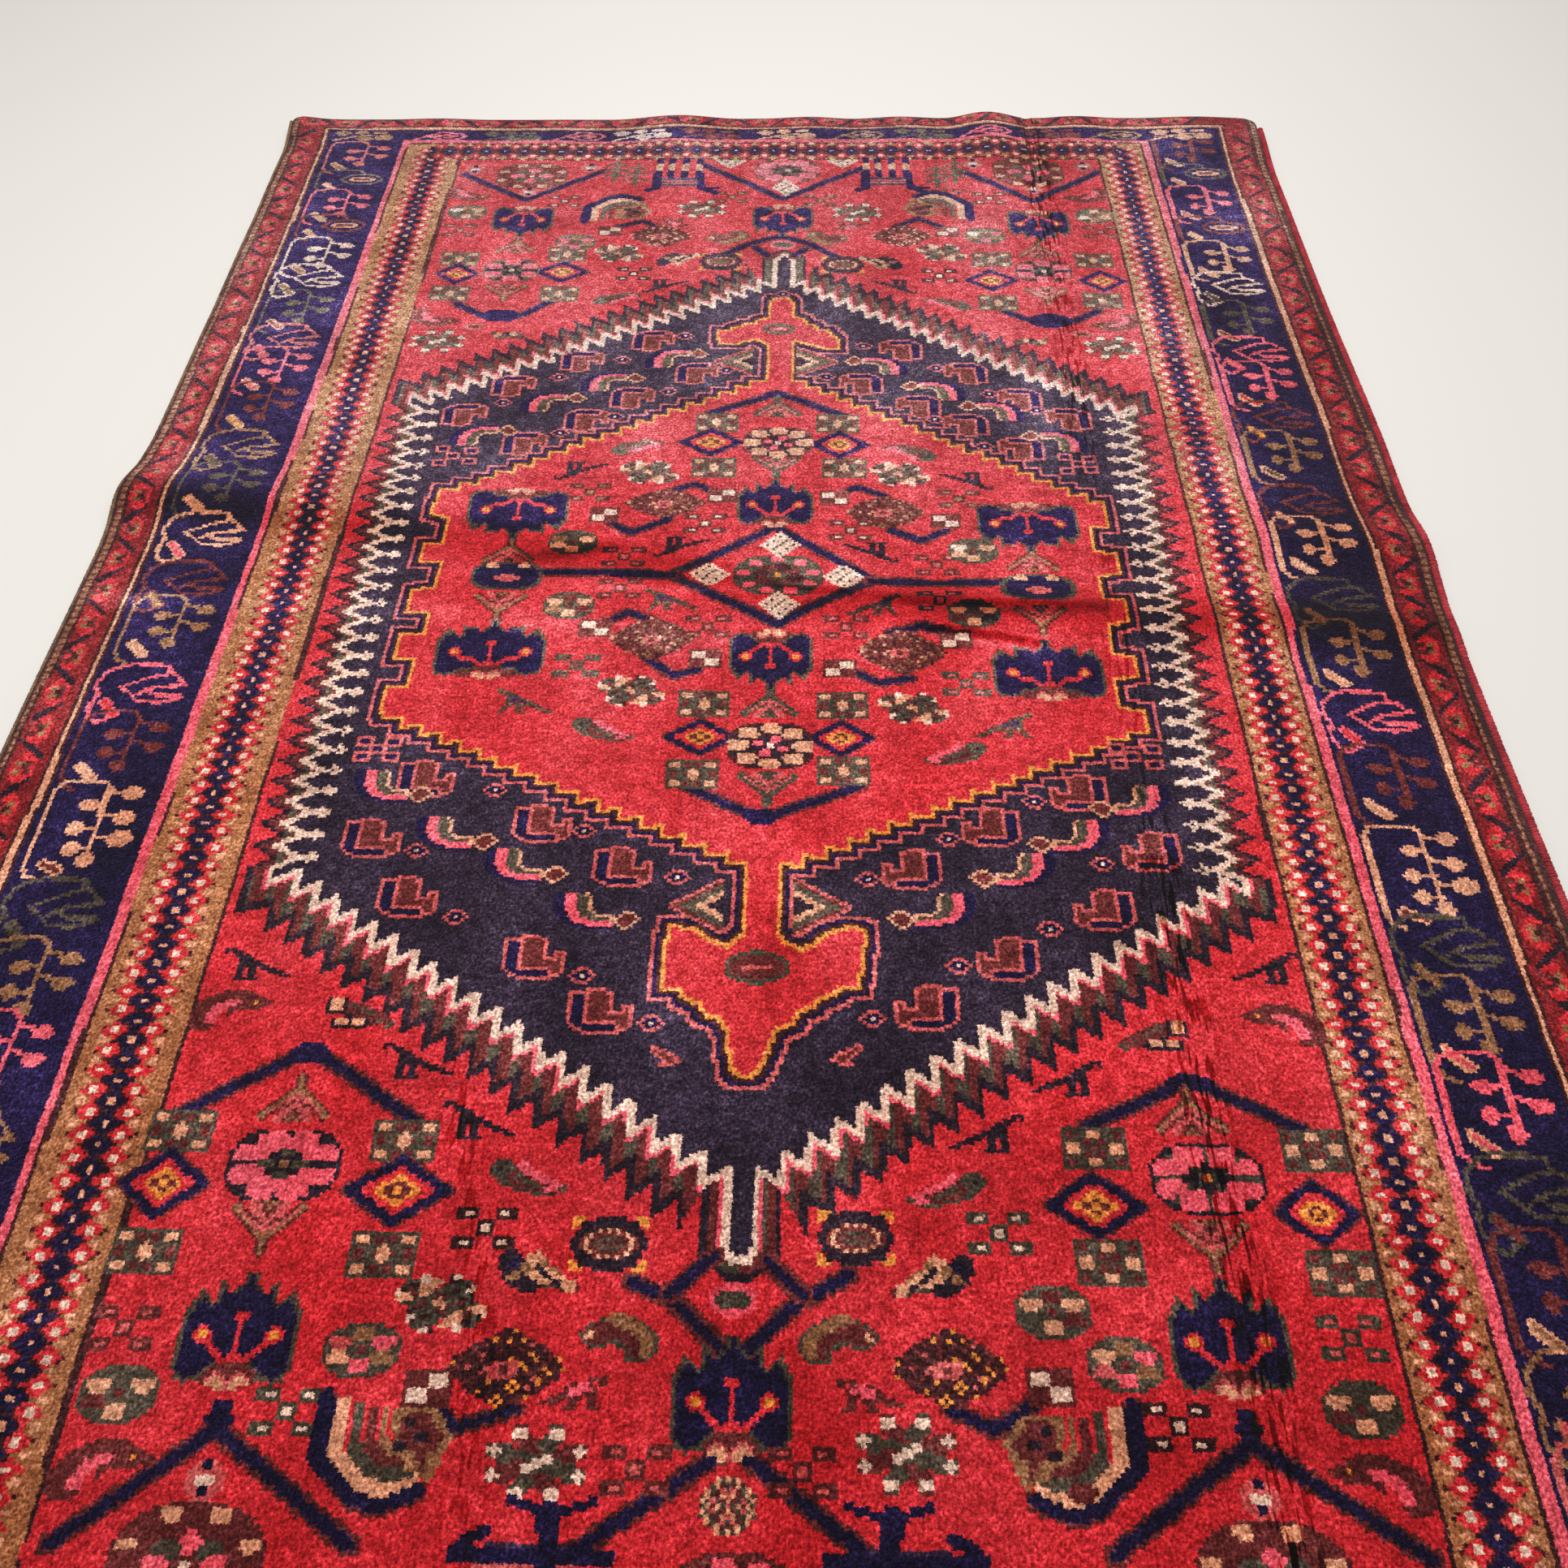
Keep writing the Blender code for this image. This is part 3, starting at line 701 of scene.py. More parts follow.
# Where the motifs of the red field stand: (x, y), or as the line's comment says
fieldPlaces = {
    "bars": [  # roof and keel bars of the field, as broken lines
        [(-31, 294), (4, 263), (39, 291)], [(-131, 284), (-102, 261), (-72, 288)],
        [(80, 287), (108, 262), (138, 287)], [(-22, 214), (-8, 226), (4, 232), (14, 227), (30, 212)],
        [(-6, 223), (-1, 216)], [(14, 222), (9, 216)],
        [(-119, 179), (-108, 171), (-101, 169), (-94, 171), (-82, 182)],
        [(89, 177), (97, 171), (106, 168), (115, 170), (125, 177)], [(-130, -175), (-103, -157), (-75, -176)],
        [(80, -176), (106, -163), (130, -176)], [(-22, -215), (-12, -220), (1, -233), (12, -221), (25, -213)],
        [(-14, -218), (-4, -209)], [(15, -218), (7, -210)], [(-130, -270), (-103, -248), (-72, -270)],
        [(75, -270), (105, -248), (136, -270)], [(-34, -274), (1, -250), (32, -274)],
        [(-19, 108), (4, 121), (30, 106)], [(-20, -69), (3, -82), (30, -69)],
        [(4, 44), (-13, 31), (-28, 20), (-12, 9), (6, -3), (21, 8), (36, 18), (20, 32), (5, 44)],
        [(-27, 20), (-50, 21), (-73, 21)], [(35, 18), (56, 17), (78, 18)]],
    "blobs": [  # (x, y, half x, half y)
        (-101, 171, 7.5, 4.5), (106, 170, 8, 5), (4, 120, 4, 2.6), (3, -81, 5, 3), (-103, -158, 5, 3),
        (106, -163.5, 6, 2.4), (1, -249, 3.4, 3), (-103, -246, 2.6, 4.4), (105, -245, 2.6, 4.4)],
    "palmette": [(5, 57), (-103, -227), (105, -226), (1, -240)],
    "palmetteDown": [(5, -18), (-102, 243), (4, 245), (108, 242)],
    "widePalmette": [(-79, -15), (86, -22)],
    "widePalmetteDown": [(-79, 51), (86, 46)],
    "check": [(-122, 212), (-80, 216), (-122, 186), (-80, 187), (87, 214), (128, 214), (87, 183), (128, 184),
        (-17, 103), (26, 102), (-16, 77), (27, 77), (-15, -37), (25, -38), (-17, -65), (26, -64), (-129, -180),
        (-77, -181), (-129, -209), (-77, -209)],
    "checkCross": [(81, -182), (131, -182), (81, -210), (131, -211)],
    "diamond": [  # (x, y, half x, half y)
        (-122, 201, 9, 8), (-81, 203, 11, 8), (86, 199, 11, 8), (129, 199, 9.5, 8), (-18, 91, 11.5, 8),
        (26, 90, 10.5, 8), (-15, -51, 11, 7.5), (25, -51, 10, 7.5), (-129, -193, 11, 9), (-76, -194, 13, 9),
        (80, -196, 12, 8.5), (129, -197, 10, 8.5)],
    "stem": [(-101, 224), (106, 223), (-103, -170), (105, -171), (-80, 32), (87, 30)],
    "stemDown": [(-101, 187), (106, 187), (-103, -204), (105, -206), (-80, 4), (87, -1)],
    "greenStem": [(4, 113), (5, -36)],
    "greenStemDown": [(5, 77), (5, -71)],
    "eyeBox": [(-20, 211), (28, 209), (-27, -206), (27, -205)],
    "dots": [  # (x, y, box and knot)
        (-86, 260, "AW"), (90, 264, "AW"), (20, 262, "AT"), (-17, 264, "AT"), (-53, 202, "DW"), (66, 202, "DW"),
        (-126, 235, "AM"), (133, 237, "AM"), (-57, 62, "AT"), (65, 60, "AT"), (-18, 46, "AW"), (29, 43, "AW"),
        (-43, 29, "AM"), (-43, 13, "AM"), (56, 8, "DM"), (56, 26, "AM"), (-15, -4, "AM"), (27, -4, "AM"),
        (-53, -22, "GA"), (62, -28, "GM"), (-55, -203, "DW"), (58, -203, "GW"), (-90, -244, "GW"), (91, -245, "DW"),
        (-128, -227, "AM"), (130, -226, "GM"), (-18, -255, "AM"), (15, -255, "AM")],
    "star": [(-60, 217), (68, 219), (-38, 74), (46, 73), (-36, -32), (46, -38), (-62, -220)],
    "starFlower": [(-29, 254), (35, 252), (-122, 153), (127, 152), (-38, -254), (36, -251)],
    "wheel": [  # (x, y, turning colours)
        (-125, 250, "HTWG"), (132, 250, "THGW"), (-60, 36, "HGTH"), (68, 33, "HGWH"), (-58, 5, "HAHT"),
        (66, 2, "HKHA"), (-78, 226, "PTPM"), (86, 233, "PTWT"), (-77, -231, "PTMH"), (82, -232, "PTHM"),
        (-125, -241, "HGHA"), (129, -241, "HGHA"), (68, -221, "HAHG")],
    "creamFish": [(-42, -213), (43, -213), (-36, 213), (44, 211)],
    "fish": [(-47, -190), (-43, -48), (47, -193), (57, -56), (-43, 87), (-58, 184), (50, 85), (68, 181)],
    "curvedBird": [(-22, -228), (22, -227), (-17, 230), (22, 230)],
    "beast": [(-77, -160), (-60, -176), (-122, -132), (77, -163), (57, -178), (130, -130), (-40, 193), (-61, 74),
        (-25, 34), (48, 194), (68, 70), (35, 32)],
    "goat": [(-31, -240), (28, -240), (-40, 242), (32, 241), (75, 268)],
    "colt": [(-26, 8), (-66, -37), (35, 6), (71, -45)],
    "boot": [(-124, -256), (-125, -146), (129, -256), (131, -147), (-126, 266), (-125, 169), (130, 267), (130, 169)],
    "chain": [(-96, 157), (97, 155)],
    "tailedFish": [(-93, -147), (99, -150)],
    "arches": [  # (x, y, side, up)
        (-62, 252, 1, 1), (67, 256, -1, 1), (-68, -250, 1, -1), (68, -250, -1, -1)],
    "lattice": [  # (x, y, half x, half y, 1 for its near half only)
        (5, 272, 6, 7.5, 0), (-19, 297, 7, 8, 1), (29, 297, 7, 8, 1), (6, 35, 6.4, 6.6, 0), (6, 5, 6.6, 6.6, 0),
        (-16, 20, 7, 6, 0), (26, 19, 7, 6, 0)],
    "comb": [  # (x, y, up)
        (-40, 283, 1), (48, 284, 1), (-38, -278, -1), (36, -278, -1)],
    "tree": [(-58, 286), (-67, 290), (69, 285), (77, 289)],
}
# Mottled lozenges: (x, y, half x, half y, ground, specks, roof, keel, boxes, turn of the boxes)
lozengePlaces = [
    (-45, 231, 12.5, 9, "A", "H", [(-62, 239), (-52, 243), (-45, 238)], [], [(-65, 235)], 1),
    (52, 232, 12.5, 9, "A", "H", [(50, 240), (60, 247), (69, 240)], [], [(71, 236)], 1),
    (-32, 56, 13.5, 8, "A", "T", [(-33, 62), (-22, 67), (-15, 62)], [(-51, 48), (-42, 41), (-30, 48)],
     [(-51, 50), (-13, 61)], 1),
    (40, 52, 13, 9, "A", "T", [(26, 62), (32, 66), (41, 61)], [(42, 43), (52, 38), (60, 43)],
     [(24, 60), (60, 48)], -1),
    (-32, -10, 13, 9.5, "A", "T", [(-48, -4), (-40, 2), (-31, -2)], [(-33, -18), (-24, -26), (-17, -23)],
     [(-49, -5), (-15, -18)], -1),
    (43, -15, 13.5, 10, "A", "T", [(40, -6), (50, -3), (58, -6)], [(30, -24), (36, -28), (46, -26)],
     [(60, -9), (25, -22)], 1),
    (-47, -235, 12.5, 8.5, "D", "O", [], [(-60, -243), (-55, -247), (-43, -243)], [(-62, -239)], 1),
    (45, -234, 12.5, 8.5, "D", "O", [], [(45, -242), (54, -246), (63, -240)], [(66, -237)], -1),
]
# Round flowers: (x, y, half x, half y, petal, ground, heart, turn, petals, size, ring, core)
rosette = ("H", "A", "GPWM", 0.39, 8, 0.12, 0.86, 0.38)
flowerPlaces = [
    (-102, 283, 15.5, 12, *rosette), (108, 286, 15.5, 12, *rosette), (6, 288, 14, 11, "P", "A", "GKWG", 0.2, 8),
    (-101, 204, 11, 8.5, "P", "G", "KGWG", 0.52, 6), (107, 206, 11.5, 8.5, "P", "A", "KGWG", 0.52, 6),
    (5, 91, 12.5, 9.5, "H", "A", "KPWK", 0.0, 8, 0.23), (5, -54, 12.5, 9.5, "H", "D", "KPWK", 0.0, 8, 0.23),
    (6, 20, 14, 10.5, "P", "G", "ADOA", 0.2, 9, 0.15, 0.78, 0.4),
    (-103, -188, 13, 9.5, "P", "K", "KGTG", 0.39, 8, 0.30, 0.66, 0.30),
    (106, -189, 13, 9.0, "P", "K", "GKOG", 0.39, 8, 0.29, 0.68, 0.30),
    (-103, -274, 15, 12, *rosette), (105, -275, 15, 12, *rosette), (2, -281, 13, 11, "P", "A", "GKWG", 0.2, 8, 0.2),
]


def layAll(*makers):
    for spots, lay in makers:
        for spot in spots:
            lay(*spot)


def layField():
    places = fieldPlaces
    for bar in places["bars"]:
        layBar(bar)
    layAll((places["blobs"], lambda *oval: drawOval(*oval, "N")))
    for name in ("stem", "greenStem", "palmette", "widePalmette"):
        for ending, flip in (("", False), ("Down", True)):
            for x, y in places[name + ending]:
                stitch(fieldCharts[name], x, y, whole="x", flip=flip)
    for name in ("check", "checkCross", "eyeBox"):
        for x, y in places[name]:
            stitch(fieldCharts[name], x, y, whole="xy")
    layAll((places["diamond"], layDiamond), (flowerPlaces, layFlower), (places["dots"], layDots))
    for x, y in places["star"]:
        stitch(fieldCharts["star"], x, y, whole="r")
    layAll((places["starFlower"], layStarFlower), (places["wheel"], layWheel))
    stitchAll(fieldCharts, places, ("creamFish", "fish", "curvedBird", "beast", "colt", "goat", "boot", "chain",
                                    "tailedFish"))
    layAll((lozengePlaces, layLozenge), (places["arches"], layArchBird), (places["lattice"], layLattice),
           (places["comb"], layComb), (places["tree"], layTree))
    # what hangs in the crook of the field's bars, and the two ovals at the ends of the middle bar
    for x, y in ((-127, 289), (-78, 291), (85, 293), (132, 292), (-102, 268), (109, 272), (-103, -258), (105, -259)):
        drawOval(x, y, 4.2, 4.6, "M", 1.4)
        for u, v in ((0, 2.6), (0, -2.4), (-1.4, 0), (1.4, 0)):
            drawOval(x + u, y + v, 1.2, 1.0, "NW"[u != 0])
    stitch(fieldCharts["crumbs"], 0.5, -262, whole="xy")
    for x, y, half in ((-79, 19, 11.5), (87, 15, 12.0)):
        drawOval(x, y, half, 7.4, "GN", 2.6)
        drawOval(x, y - 1, 4.2, 1.8, "M")
        for u in (-5, 5):
            drawOval(x + u, y + 5.4, 1.7, 1.3, "H", 4.0)
    for x, y in ((5, 225), (0, -219)):
        drawOval(x, y, 5.4, 3.7, "PG")
    for x, y, halfX, letters in ((4, 163, 6.5, "GAM"), (3, -131.5, 8.5, "GAAM"), (70, -258, 3, "AH")):
        drawOval(x, y, halfX, halfX * 0.6, letters)
    for x, y in ((-110, 163), (117, 161)):
        drawOval(x, y, 4.4, 2.2, "MA", 1.6)
    print("field laid")


def drawRug():
    layGround()
    layBorders()
    layMedallionGround()
    layRedMiddle()
    layBirds()
    layField()


drawRug()


# Measures of the rug's body, in metres; the long edges drift, the far end runs out askew and both ends cockle
rugBody = {"length": 2.04, "width": 1.30, "pile": 0.010, "corner": 0.020, "gap": 0.0004,
           "cord": {"left": 0.0030, "right": 0.0045}, "cord end": 0.024,
           "evened along": 230, "evened across": 150}     # knots beyond which the chart is fitted to the outline
edgeDrift = {  # (y, metres outwards)
    "left": [(-1.02, 0.0050), (-0.90, 0.0010), (-0.45, -0.0015), (-0.10, 0.0010), (0.09, 0.0005),
             (0.18, 0.0045), (0.29, -0.0030), (0.50, -0.0015), (0.70, 0.0010), (0.90, 0.0040), (1.02, 0.0120)],
    "right": [(-1.02, 0.0060), (-0.90, 0.0015), (-0.40, 0.0000), (-0.12, -0.0015), (-0.01, -0.0015),
              (0.09, 0.0035), (0.20, 0.0005), (0.30, 0.0020), (0.55, 0.0000), (0.85, 0.0015), (1.02, 0.0090)],
}
endDrift = {  # (x, metres outwards)
    "far": [(-0.65, -0.0060), (-0.56, -0.0100), (-0.30, -0.0080), (0.00, 0.0000), (0.30, 0.0060), (0.65, 0.0100)],
    "near": [(-0.65, 0.0060), (-0.50, 0.0020), (-0.20, -0.0030), (0.10, 0.0010), (0.35, -0.0020), (0.65, 0.0050)],
}
# Cockles of the ends: (x of the crest, half width, height, reach into the rug)
farCockles = [(-0.655, 0.060, 0.0050, 0.10), (-0.450, 0.070, 0.0015, 0.12), (-0.130, 0.085, 0.0055, 0.20),
              (0.045, 0.060, 0.0025, 0.14), (0.165, 0.060, 0.0025, 0.14), (0.283, 0.060, 0.0090, 0.24),
              (0.400, 0.060, 0.0030, 0.14), (0.560, 0.080, 0.0020, 0.12)]
nearCockles = [(-0.500, 0.080, 0.0025, 0.12), (-0.260, 0.070, 0.0040, 0.16), (0.080, 0.090, 0.0030, 0.14),
               (0.360, 0.070, 0.0045, 0.18), (0.655, 0.060, 0.0030, 0.10)]
# Low ridges where it was folded: (y at the left edge, y at the right edge, half width, [(x, height), ...])
crossRidges = [
    (0.185, 0.120, 0.060, [(-0.65, 0.0075), (-0.45, 0.0045), (-0.20, 0.0010), (0.30, 0.0010), (0.50, 0.0040),
                           (0.65, 0.0060)]),
    (0.060, -0.010, 0.045, [(-0.65, 0.0000), (-0.20, 0.0005), (0.00, 0.0030), (0.35, 0.0045), (0.65, 0.0030)]),
]


def smoothStep(t):
    t = min(max(t, 0.0), 1.0)
    return t * t * (3.0 - 2.0 * t)


def readBetween(stations, at):
    # value at a place between listed stations, with an S-shaped passage from each to the next
    if at <= stations[0][0]:
        return stations[0][1]
    for (a, valueA), (b, valueB) in zip(stations, stations[1:]):
        if at <= b:
            return valueA + (valueB - valueA) * smoothStep((at - a) / (b - a))
    return stations[-1][1]


def crestAt(distance, half):
    return 0.0 if abs(distance) >= half else math.cos(0.5 * math.pi * distance / half) ** 2


def floorGap(x, y):
    # height of the rug's underside above the floor
    gap = 0.0
    for cockles, end in ((farCockles, 1), (nearCockles, -1)):
        for crest, half, height, reach in cockles:
            gap += height * crestAt(x - crest, half) * smoothStep(1.0 - (rugBody["length"] / 2 - end * y) / reach)
    for leftY, rightY, half, heights in crossRidges:
        crest = leftY + (rightY - leftY) * (x + rugBody["width"] / 2) / rugBody["width"]
        gap += readBetween(heights, x) * crestAt(y - crest, half)
    return gap


def clothEdge(side, y):
    # x of the knotted cloth's long edge; the cord lies outside it
    reach = rugBody["width"] / 2 - rugBody["gap"] - 2 * rugBody["cord"][side] - edgeDrift[side][-1][1]
    reach += readBetween(edgeDrift[side], y)
    return -reach if side == "left" else reach


def placeKnot(u, v):
    # x and y on the floor of a place in the chart, given in knots
    x, y = u * knotted["pitch"], v * knotted["pitch"]
    farY = rugBody["length"] / 2 - endDrift["far"][-1][1] + readBetween(endDrift["far"], x)
    nearY = -rugBody["length"] / 2 + endDrift["near"][0][1] - readBetween(endDrift["near"], x)
    start = rugBody["evened along"]
    if abs(v) > start:
        past = smoothStep((abs(v) - start) / (halfAlong - start))
        y += (farY - halfAlong * knotted["pitch"] if v > 0 else nearY + halfAlong * knotted["pitch"]) * past
    left, right = clothEdge("left", y), clothEdge("right", y)
    start = rugBody["evened across"]
    if abs(u) > start:
        past = smoothStep((abs(u) - start) / (halfAcross - start))
        x += (right - halfAcross * knotted["pitch"] if u > 0 else left + halfAcross * knotted["pitch"]) * past
    corner = rugBody["corner"]
    innerX = min(max(x, left + corner), right - corner)
    innerY = min(max(y, nearY + corner), farY - corner)
    reach = math.hypot(x - innerX, y - innerY)
    if reach > corner:
        x, y = innerX + (x - innerX) * corner / reach, innerY + (y - innerY) * corner / reach
    return x, y


# Fine relief of the pile, in knots and metres
pileRelief = {
    "parting": {"far": 112.0, "near": 107.6, "half": 2.6, "depth": 0.0022,   # a parted line down the right side
                "stretches": [(-338, 0.5), (-300, 0.9), (-240, 0.8), (-190, 1.0), (-120, 0.7), (-60, 0.2), (0, 0.4),
                              (60, 0.1), (130, 0.5), (200, 0.4), (260, 0.9), (338, 0.6)]},
    "creases": [(-75, 21.0, 35, 18.0, 0.0012), (4, 14.0, 36, 11.0, 0.0010), (34, 9.0, 108, 5.0, 0.0015),
                (46, -2.0, 90, -12.0, 0.0013)],
    # slow swell and short cross wrinkles: (height, turns a metre across, along)
    "swell": (0.0007, 9.0, 12.0), "rumple": (0.0006, 16.0, 62.0),
}
# Painted shade and painted highlight along the folds, in bands: ([(x, y), ...], half width, deeper or paler)
foldShadingBands = [
    ([(-212, 58), (-140, 44), (-62, 33), (10, 10), (100, 4), (212, -2)], 15.0, 0.42),
    ([(-56, 14), (-20, 12.5), (4, 12)], 2.8, -0.26), ([(0, 15), (34, 11)], 1.6, 0.60),
    ([(-84, 26), (-60, 31), (-40, 35)], 5.0, 0.75),
    ([(30, 11), (54, 7.5), (76, 4.5), (96, 5.5), (114, 7)], 5.0, 0.80),
    ([(46, -2), (70, -6.5), (92, -12)], 1.8, 1.1), ([(46, -5.5), (70, -10), (92, -15.5)], 2.6, -0.28),
    ([(-212, 8), (-100, 2), (0, -12)], 9.0, -0.16),
]
# Painted shade on the right-hand border: it is painted darker along the middle of the rug, from this column and
# between these rows
darkBorder = {"shade": 0.2, "from": 158, "fade": 14.0, "near": -70, "far": 250, "ends": 60.0}
foldFade = {"band": 12.0, "parting": 30.0}      # knots over which a fold fades out at its ends
# Lines along the rug where folding parted the pile, with painted shade in the slits: ([(v, u), ...], half width,
# strength)
partings = [
    ([(-338, 109), (-214, 110.5), (-190, 108), (-130, 108.5), (338, 112)], 8.0, 1.0),
    ([(-290, -49), (-236, -52.5), (-205, -56), (-185, -63), (-150, -68)], 7.0, 0.45),
]


def reliefAt(u, v):
    x, y = u * knotted["pitch"], v * knotted["pitch"]
    parting = pileRelief["parting"]
    line = parting["near"] + (parting["far"] - parting["near"]) * (v + halfAlong) / knotted["along"]
    line += 0.5 * math.sin(v / 19.0) + 0.3 * math.sin(v / 6.1)
    height = -parting["depth"] * crestAt(u - line, parting["half"]) * readBetween(parting["stretches"], v)
    height += 0.3 * parting["depth"] * crestAt(u - line - 4.0, 4.0) * readBetween(parting["stretches"], v)
    for ax, ay, bx, by, depth in pileRelief["creases"]:
        share = (u - ax) / (bx - ax)
        if -0.1 < share < 1.1:
            fade = smoothStep((0.1 + share) / 0.25) * smoothStep((1.1 - share) / 0.25)
            away = v - ay - (by - ay) * share
            height += depth * fade * (crestAt(away - 1.5, 3.0) - crestAt(away + 1.5, 3.0))
    size, across, along = pileRelief["swell"]
    height += size * noise.noise(Vector((x * across, y * along, 0.3)))
    # the wrinkles are strongest along the parted line, towards the near end
    near = smoothStep((-v - 90) / 90.0) * (0.35 + crestAt(u - line, 46.0))
    size, across, along = pileRelief["rumple"]
    height += size * (0.35 + near) * noise.noise(Vector((x * across, y * along, 4.1)))
    return height


# painted shade on the right-hand border, and painted shade and highlight bands at the folds
def napLean(u, v):
    lean = darkBorder["shade"] * smoothStep((u - darkBorder["from"]) / darkBorder["fade"])
    lean *= smoothStep((v - darkBorder["near"]) / darkBorder["ends"])
    lean *= smoothStep((darkBorder["far"] - v) / darkBorder["ends"])
    for points, half, size in foldShadingBands:
        for (ax, ay), (bx, by) in zip(points, points[1:]):
            if ax <= u < bx:
                share = (u - ax) / (bx - ax)
                ends = smoothStep((u - points[0][0]) / foldFade["band"])
                ends *= smoothStep((points[-1][0] - u) / foldFade["band"])
                lean += size * max(ends, abs(points[0][0]) > 200) * crestAt(v - ay - (by - ay) * share, half)
    return lean


def partingShadeAt(u, v):
    # how strongly the pile is parted, which sets the painted shade in its slits: 1 on the right-hand fold, less beside
    # it
    parted = 0.0
    for points, half, size in partings:
        if points[0][0] <= v <= points[-1][0]:
            ends = smoothStep((v - points[0][0]) / foldFade["parting"])
            ends *= smoothStep((points[-1][0] - v) / foldFade["parting"])
            parted += size * max(ends, points[-1][0] > 300) * crestAt(u - readBetween(points, v), half)
    return parted * readBetween(pileRelief["parting"]["stretches"], v)


# Knot lines that the net's columns and rows follow, closer together along the parted line and the creases
columnsAt = sorted({*range(-halfAcross, halfAcross + 1, 4), *range(104, 118)})
rowsAt = sorted({*range(-halfAlong, halfAlong + 1, 2), *range(-14, 34)})
# How the pile ends at the rug's edge: its rim's drop, and steps down as (outwards, height)
rugEdge = {"drop": 0.0010, "steps": ((0.0003, 0.0066), (0.0003, 0.0026))}
# Where top and back lie in the bake's map: (share of it, place); the sides run on outwards from the top
bakeMap = {"top": ((0.784, 0.984), (0.008, 0.008)), "back": ((0.17, 0.984), (0.822, 0.008)),
           "sides": ((2, 0.000, 0.0024), (3, 0.0024, 0.0048), (4, 0.0048, 0.0072))}
block = 4    # a face takes its yarns from a square of this many knots, one more all round


def showObject(name, data):
    shown = bpy.data.objects.new(name, data)
    bpy.context.scene.collection.objects.link(shown)
    return shown


def makeRug():
    # closed net: the pile's top, three steps down round its edge, and the back
    across, along = len(columnsAt), len(rowsAt)
    flat = np.array([(*placeKnot(u, v), u, v) for v in rowsAt for u in columnsAt])
    gaps = np.array([floorGap(x, y) for x, y, u, v in flat])
    relief = np.array([reliefAt(u, v) for x, y, u, v in flat])
    index = np.arange(across * along).reshape(along, across)
    rim = np.concatenate([index[0, :-1], index[:-1, -1], index[-1, :0:-1], index[:0:-1, 0]])
    top = np.column_stack([flat[:, :2], gaps + rugBody["pile"] + relief])
    middle = flat[rim, :2]
    outward = np.roll(middle, -1, 0) - np.roll(middle, 1, 0)
    outward = np.column_stack([outward[:, 1], -outward[:, 0]])
    outward /= np.linalg.norm(outward, axis=1)[:, None]
    top[rim, 2] -= rugEdge["drop"]
    vertices, rings, count = [top], [rim], len(top)
    for out, height in rugEdge["steps"]:
        vertices.append(np.column_stack([middle + outward * out, gaps[rim] + height]))
        rings.append(np.arange(len(rim)) + count)
        count += len(rim)
    vertices = np.concatenate(vertices + [np.column_stack([flat[:, :2], gaps])])
    rings.append(rim + count)

    low, high = index[:-1, :-1].ravel(), index[1:, 1:].ravel()
    right, far = index[:-1, 1:].ravel(), index[1:, :-1].ravel()
    quads = [np.column_stack([low, right, high, far]), np.column_stack([low, far, high, right]) + count]
    for upper, lower in zip(rings, rings[1:]):
        quads.append(np.column_stack([upper, lower, np.roll(lower, -1), np.roll(upper, -1)]))
    kinds = np.repeat(range(5), [len(group) for group in quads])     # top, back and three rings of sides
    quads = np.concatenate(quads)

    # chart place of every vertex and of every face's corners
    chartPlace = np.concatenate([flat[:, 2:], flat[rim, 2:], flat[rim, 2:], flat[:, 2:]])
    mesh = bpy.data.meshes.new("rug_pile")
    mesh.from_pydata(vertices.tolist(), [], quads.tolist())
    mesh.polygons.foreach_set("use_smooth", np.ones(len(quads), bool))

    corners = chartPlace[quads]
    share = (corners + (halfAcross, halfAlong)) / (knotted["across"], knotted["along"])
    size, place = bakeMap["top"]
    bake = share * size + place
    size, place = bakeMap["back"]
    bake[kinds == 1] = share[kinds == 1] * size + place
    for kind, inner, outer in bakeMap["sides"]:
        chosen = kinds == kind
        outwards = np.sign(np.round((share[chosen] - 0.5) * 2, 6)) * (abs(share[chosen] - 0.5) > 0.4999)
        bake[chosen] += outwards * np.array([inner, outer, outer, inner])[None, :, None]
    for name, values in (("OFBake", bake), ("knotPlace", share)):
        layer = mesh.uv_layers.new(name=name)
        layer.data.foreach_set("uv", np.ascontiguousarray(values, dtype=np.float32).ravel())

    # each face carries its square of knots in the material's attributes, six knots packed in a number
    padded = np.pad(chart, 1, mode="edge")
    cell = np.floor((corners.mean(axis=1) + (halfAcross, halfAlong)) / block).astype(int)
    cell = np.clip(cell, 0, [knotted["across"] // block - 1, knotted["along"] // block - 1])
    packed = np.zeros((len(quads), block + 2))
    for row in range(block + 2):
        for column in range(block + 2):
            packed[:, row] += padded[cell[:, 1] * block + row, cell[:, 0] * block + column] * 16.0 ** column
    isUnder = (kinds == 1) | (kinds == 4)
    for name, values in (("rowsLow", packed[:, :3]), ("rowsHigh", packed[:, 3:]),
                         ("blockAt", np.column_stack([cell * block, isUnder]))):
        layer = mesh.attributes.new(name, "FLOAT_VECTOR", "FACE")
        layer.data.foreach_set("vector", np.ascontiguousarray(values, dtype=np.float32).ravel())
    for name, read in (("napLean", napLean), ("parted", partingShadeAt)):
        layer = mesh.attributes.new(name, "FLOAT", "POINT")
        layer.data.foreach_set("value", np.array([read(u, v) for u, v in chartPlace], dtype=np.float32))
    mesh.validate()
    print("rug meshed:", len(mesh.polygons), "faces")
    return showObject("rug_pile", mesh)


def toLinear(code):
    # an sRGB hex colour as shaders take it
    parts = [int(code[k:k + 2], 16) / 255 for k in (1, 3, 5)]
    return tuple(c / 12.92 if c <= 0.04045 else ((c + 0.055) / 1.055) ** 2.4 for c in parts) + (1.0,)


